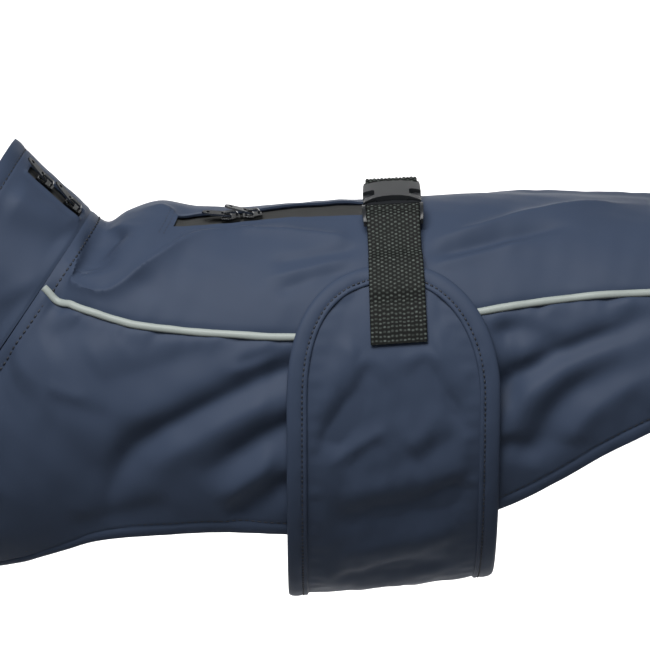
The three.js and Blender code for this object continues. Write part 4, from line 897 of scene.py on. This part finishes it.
def webbing(name, node, centre, girths):
    """A ribbon along a line of points. Its relief is a plain weave of coarse yarns: a bump for each crossing,
    with every other column moved along, by half a bump near the buckle and less towards the sewn end."""
    lengths = lengths_along(centre)
    run = np.linspace(0, lengths[-1], int(lengths[-1] / 0.4))
    path = np.stack([curve(lengths, centre[:, k], run) for k in range(3)], -1)
    girth = np.interp(run, lengths, girths)
    past = np.abs(girth) - BUCKLE_SPAN
    width = WEBBING_WIDTH + (WEBBING_END_WIDTH - WEBBING_WIDTH) * smooth(past / (STRAP_END - BUCKLE_SPAN))
    flat = coat_middle(girth, 0 * girth)
    beside = belt_point(strap_middle(girth) + 5, girth, 0 * girth + WEBBING / 2) - flat
    on_coat = smooth(past / 20)[:, None]
    across = unit(BUCKLE_AXES[0] * (1 - on_coat) + unit(beside) * on_coat)
    tangent = unit(np.gradient(path, axis=0))
    normal = unit(np.cross(across, tangent))
    columns = np.linspace(-1, 1, 88)
    yarn, row = np.meshgrid((columns + 1) / 2 * YARNS, run / YARN_ROW)
    row += (0.5 - 0.4 * smooth((run[:, None] - 55) / 40)) * (np.floor(yarn) % 2)
    row += 0.09 * crumple(yarn * 2, run[:, None], 13, 51)
    bump = np.abs(np.sin(np.pi * yarn)) ** 0.5 * np.abs(np.sin(np.pi * row)) ** 0.8
    edge = (0.5 + 0.5 * smooth((1 - np.abs(columns)) / 0.06))[None]
    middle = path[:, None] + across[:, None] * (columns[None] * width[:, None] / 2)[..., None]
    outer = middle + normal[:, None] * ((WEBBING / 2 - 0.75 + 1.05 * bump) * edge)[..., None]
    inner = middle - normal[:, None] * (WEBBING / 2 * edge + 0 * bump)[..., None]
    dress(shell(name, outer, inner, uv=np.stack([yarn, row], -1), sharp=75), node, "webbing")
    return path, across, normal, run, width


near_girths = np.linspace(BUCKLE_GIRTH + 49, STRAP_END, 16)
plug_points = buckle_points(PLUG_PATH)
near_line = webbing(
    "near_strap_webbing",
    "near_strap",
    np.concatenate([plug_points, coat_middle(near_girths, strap_lift(near_girths))]),
    np.concatenate([np.full(len(plug_points), BUCKLE_SPAN), near_girths]),
)
under_girths = np.linspace(BUCKLE_GIRTH - 40, BUCKLE_GIRTH - 26, 4)
over_girths = np.linspace(BUCKLE_GIRTH - 34, BUCKLE_GIRTH - 42, 3)
far_girths = np.linspace(BUCKLE_GIRTH - 48, -STRAP_END, 20)
socket_points = buckle_points(SOCKET_PATH)
far_line = webbing(
    "far_strap_webbing",
    "far_strap",
    np.concatenate([
        coat_middle(under_girths, CLOTH + SEAM_GAP),
        socket_points,
        coat_middle(over_girths, CLOTH + SEAM_GAP + WEBBING + SEAM_GAP),
        coat_middle(far_girths, strap_lift(far_girths)),
    ]),
    np.concatenate([under_girths, np.full(len(socket_points), -20.0), over_girths, far_girths]),
)


# Hard pieces: the solids with their edges rounded
def rounded(name, node, slot, body, width, segments=2):
    """A copy of a CAD node, its corners joined and its edges rounded."""
    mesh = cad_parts[node].data.copy()
    mesh.name = name
    obj = bpy.data.objects.new(name, mesh)
    bpy.context.scene.collection.objects.link(obj)
    mesh.materials.clear()
    weld = obj.modifiers.new("joined corners", "WELD")
    weld.merge_threshold = 0.002 * MM
    bevel = obj.modifiers.new("rounded edges", "BEVEL")
    bevel.width = width * MM
    bevel.segments = segments
    bevel.angle_limit = np.radians(32)
    mesh.polygons.foreach_set("use_smooth", np.ones(len(mesh.polygons), bool))
    obj.modifiers.new("even shading", "WEIGHTED_NORMAL")
    return dress(obj, node, slot, body)


rounded("buckle_socket_shell", "buckle_socket", "buckle_plastic", "coat", 0.45, 3)
rounded("buckle_plug_frame", "buckle_plug", "buckle_plastic", "coat", 0.35)
for strip, place in (("leash", "front"), ("leash", "rear"), ("collar", "low"), ("collar", "high")):
    slider, pull = f"{strip}_zip_{place}_slider", f"{strip}_zip_{place}_pull"
    rounded(slider + "_body", slider, "zip_metal", "coat", 0.22)
    rounded(pull + "_tab", pull, "zip_metal", f"{strip}_{place}_tab", 0.2)


# Zip tapes and their coils
def teeth(run, across):
    """Height of a reversed coil zip: a low ribbed band with a groove where its two halves meet."""
    band = smooth((2.0 - np.abs(across)) / 0.7)
    ribs = np.abs(np.sin(np.pi * (run / 1.25 + 0.5 * (across > 0))))
    return band * (0.3 + 0.12 * ribs) - 0.45 * edge_fade(across, 0.3)


def build_tape(zip_name, point, place, around, run, from_middle):
    """A zip's tape under its slot: the coil stands on the outer face, and the inner face is plain."""
    lift = -0.7 + teeth(run, from_middle)
    node = zip_name + "_tape"
    return sheet_on(point, place, around, 0 * lift - 1.5, lift, node + "_cloth", node, "zip_tape", sharp=60)


def build_leash_tape():
    """The tape reaches past both lips of the slot, and its coil runs beside the upper one."""
    stations = np.linspace(50.5, 176, 620)
    lip = line(LEASH_SLOT, stations[:, None], 1)
    upper, lower = lip - 2.2, line(LEASH_SLOT, stations[:, None], 2) + 2.2
    around = upper + (lower - upper) * np.linspace(0, 1, 34)
    along = np.broadcast_to(stations[:, None], around.shape)
    return build_tape("leash_zip", coat_point, along, around, along, (around - lip) * 1.25 - 2.6)


def build_collar_tape():
    begin, end, upper, lower = COLLAR_SLOT
    shares, degrees = np.linspace(begin - 0.03, end + 0.05, 220), np.linspace(upper - 2, lower + 2, 34)
    around, share = np.meshgrid(degrees, shares)
    from_middle = (around - (upper + lower) / 2) * NECK_MM_PER_DEGREE
    return build_tape("collar_zip", collar_point, share, around, share * COLLAR_HEIGHT, from_middle)


build_leash_tape()
build_collar_tape()

# Stitching
STITCH_RINGS = np.array([(-1, 0.2), (-0.75, 0.85), (0, 1), (0.75, 0.85), (1, 0.2)])
STITCH_TURNS = np.linspace(0, 2 * np.pi, 7)[:-1]


def stitching(name, path, normals, material, pitch=3.0, fill=0.64, radius=0.42, closed=False):
    """A row of stitches along a line on the cloth: short spindles laid along the line, a pitch apart."""
    if closed:
        path, normals = np.concatenate([path, path[:1]]), np.concatenate([normals, normals[:1]])
    lengths = lengths_along(path)
    at = np.arange(pitch / 2, lengths[-1], pitch)
    centre, up = at_lengths(at, lengths, path), unit(at_lengths(at, lengths, normals))
    run = unit(at_lengths(at + 0.3, lengths, path) - at_lengths(at - 0.3, lengths, path))
    side = unit(np.cross(run, up))
    reach, girth = STITCH_RINGS[:, :1, None] * pitch * fill / 2, STITCH_RINGS[:, 1:, None] * radius
    turn = STITCH_TURNS[:, None]
    points = centre[:, None, None] + run[:, None, None] * reach
    points = points + side[:, None, None] * (girth * np.cos(turn))
    points = points + up[:, None, None] * (girth * np.sin(turn) * 0.8)
    rings, turns = len(STITCH_RINGS), len(STITCH_TURNS)
    ids = point_ids(rings, turns, True)
    walls = np.stack(cell_corners(ids.T), -1).reshape(-1, 4)
    offset = np.arange(len(at))[:, None] * rings * turns
    faces = (offset[..., None] + walls).reshape(-1, 4).tolist()
    for cap in (ids[0, -2::-1], ids[-1, :-1]):
        faces += (offset + cap).tolist()
    obj = mesh_object(name, points.reshape(-1, 3), faces, sharp=80)
    obj.data.materials.append(material)
    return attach(obj, "coat")


def coat_line(along, around, lift):
    return coat_point(along, around, lift + 0 * along), outward(along, around)


outline, into = flap_outline(120, 400)
seam = outline + into * FLAP_STITCH
seam_low, seam_middle, seam_high = (belt_point(*seam.T, lift) for lift in (4.0, 4.72, 6.0))
seam_up = unit(seam_high - seam_low)
flap_thread = stitching("flap_topstitch", seam_middle, seam_up, THREAD_FINISH, 2.95, radius=0.5, closed=True)
round_neck = np.linspace(-179.9, 179.9, 700)
beside_neck = coat_line(0 * round_neck + NECK_STITCH, round_neck, CLOTH - 0.05)
neck_thread = stitching("neck_topstitch", *beside_neck, THREAD_FINISH, pitch=3.5, radius=0.6)


def hem_path(side):
    """The line of the hem's stitches: the hem's points moved in along the cloth, square to the hem."""
    stations = np.linspace(56, 449, 900)
    around = line(HEM_LINE, stations)
    here = body_point(stations, side * around)
    run = np.gradient(here, axis=0)
    per_degree = body_point(stations, side * (around + 0.5)) - body_point(stations, side * (around - 0.5))
    per_mm = np.linalg.norm(np.cross(unit(run), per_degree), axis=-1)
    moved = around - HEM_STITCH / np.maximum(per_mm, 0.35)
    inside = moved > line(PIPING_LINE, stations) + 5
    return coat_line(stations[inside], side * moved[inside], CLOTH - 0.3)


left_hem_thread = stitching("left_hem_stitch", *hem_path(1), THREAD_FINISH, pitch=3.5)
right_hem_thread = stitching("right_hem_stitch", *hem_path(-1), THREAD_FINISH, pitch=3.5)


def welt_end(along):
    """A short row of stitches across the front end of the leash zip's slot."""
    around = np.linspace(9.0, 27.0, 60)
    return coat_line(0 * around + along, around, CLOTH - 0.05)


zip_threads = [
    stitching(f"leash_zip_end_stitch_{k}", *welt_end(along), THREAD_FINISH, pitch=2.6, radius=0.22)
    for k, along in enumerate((48.6, 51.2), 1)
]


def collar_line(shares, around, lift):
    here = collar_point(shares, around, lift + 0 * shares)
    return here, unit(collar_point(shares, around, lift + 1 + 0 * shares) - here)


below_edge = collar_line(0 * round_neck + 1 - 8 / COLLAR_HEIGHT, round_neck, 1.45)
collar_thread = stitching("collar_edge_stitch", *below_edge, THREAD_FINISH, pitch=3.5)


def strap_box(path, across, normal, run, width):
    """A rectangle of stitches on a strap's sewn end, 2.6 mm inside its edges."""
    near, far = run[-1] - 13.5, run[-1] - 2.6
    corners = [(near, -1), (near, 1), (far, 1), (far, -1), (near, -1)]
    where, side = np.concatenate([np.linspace(a, b, 60)[:-1] for a, b in zip(corners[:-1], corners[1:])]).T
    middle, beside, up = (at_lengths(where, run, rows) for rows in (path, across, normal))
    half = np.interp(where, run, width) / 2 - 2.6
    return middle + beside * (half * side)[:, None] + unit(up) * (WEBBING / 2 + 0.02), unit(up)


for strap, lines in (("near", near_line), ("far", far_line)):
    name = f"{strap}_strap_box_stitch"
    box_thread = stitching(name, *strap_box(*lines), GREY_THREAD, pitch=2.2, radius=0.2)

# Floor, light and camera
FLOOR_Z, WALL_Y = -0.9, 3.0


def build_backdrop():
    """A pale floor that curves up into a wall behind."""
    turn, bend = np.linspace(0, np.pi / 2, 24), 1.0
    y = np.concatenate([[-6.0], WALL_Y - bend + bend * np.sin(turn), [WALL_Y]])[:, None]
    z = np.concatenate([[FLOOR_Z], FLOOR_Z + bend - bend * np.cos(turn), [4.5]])[:, None]
    grid = np.stack(np.broadcast_arrays([-6.0, 6.0], y, z), -1) / MM
    faces = np.stack(cell_corners(point_ids(len(y), 2, False).T), -1).reshape(-1, 4)
    backdrop = mesh_object("backdrop", grid.reshape(-1, 3), faces)
    backdrop.data.materials.append(finish("pale backdrop", (0.93, 0.93, 0.93), 0.9))
    return backdrop


build_backdrop()


def area_light(name, place, aim, size, power, spread):
    data = bpy.data.lights.new(name, "AREA")
    data.shape = "RECTANGLE"
    data.size, data.size_y = size
    data.energy = power
    data.spread = np.radians(spread)
    lamp = bpy.data.objects.new(name, data)
    bpy.context.scene.collection.objects.link(lamp)
    lamp.location = place
    toward = np.array(aim) - np.array(place)
    z = -toward / np.linalg.norm(toward)
    x = np.cross([0.0, 1.0, 0.02], z)
    x /= np.linalg.norm(x)
    lamp.rotation_euler = Matrix(np.stack([x, np.cross(z, x), z], -1).tolist()).to_euler()
    return lamp


MIDDLE = (-0.02, -0.04, -0.08)
area_light("key softbox", (-0.24, -0.62, 0.88), MIDDLE, (0.9, 0.6), 4.7, 75)
area_light("backdrop wash", (0.0, 0.9, 1.5), (0.0, 2.7, -0.4), (2.6, 0.6), 60, 120)
world = bpy.data.worlds.new("studio")
world.use_nodes = True
world.node_tree.nodes["Background"].inputs[0].default_value = (1, 1, 1, 1)
world.node_tree.nodes["Background"].inputs[1].default_value = 0.2
bpy.context.scene.world = world

ELEVATION = np.radians(12.0)
AIM = np.array([-0.0385, -0.083, -0.053])
PIXELS_PER_MM, FRAME_PIXELS, DISTANCE_MM = 1.87, 650, 1500
lens = bpy.data.cameras.new("camera")
lens.sensor_width = 36.0
lens.lens = lens.sensor_width * PIXELS_PER_MM * DISTANCE_MM / FRAME_PIXELS
lens.clip_end = 20
camera = bpy.data.objects.new("camera", lens)
bpy.context.scene.collection.objects.link(camera)
camera.location = AIM - DISTANCE_MM * MM * np.array([0, np.cos(ELEVATION), -np.sin(ELEVATION)])
camera.rotation_euler = (np.pi / 2 - ELEVATION, 0, 0)
bpy.context.scene.camera = camera
bpy.context.scene.view_settings.view_transform = "Standard"
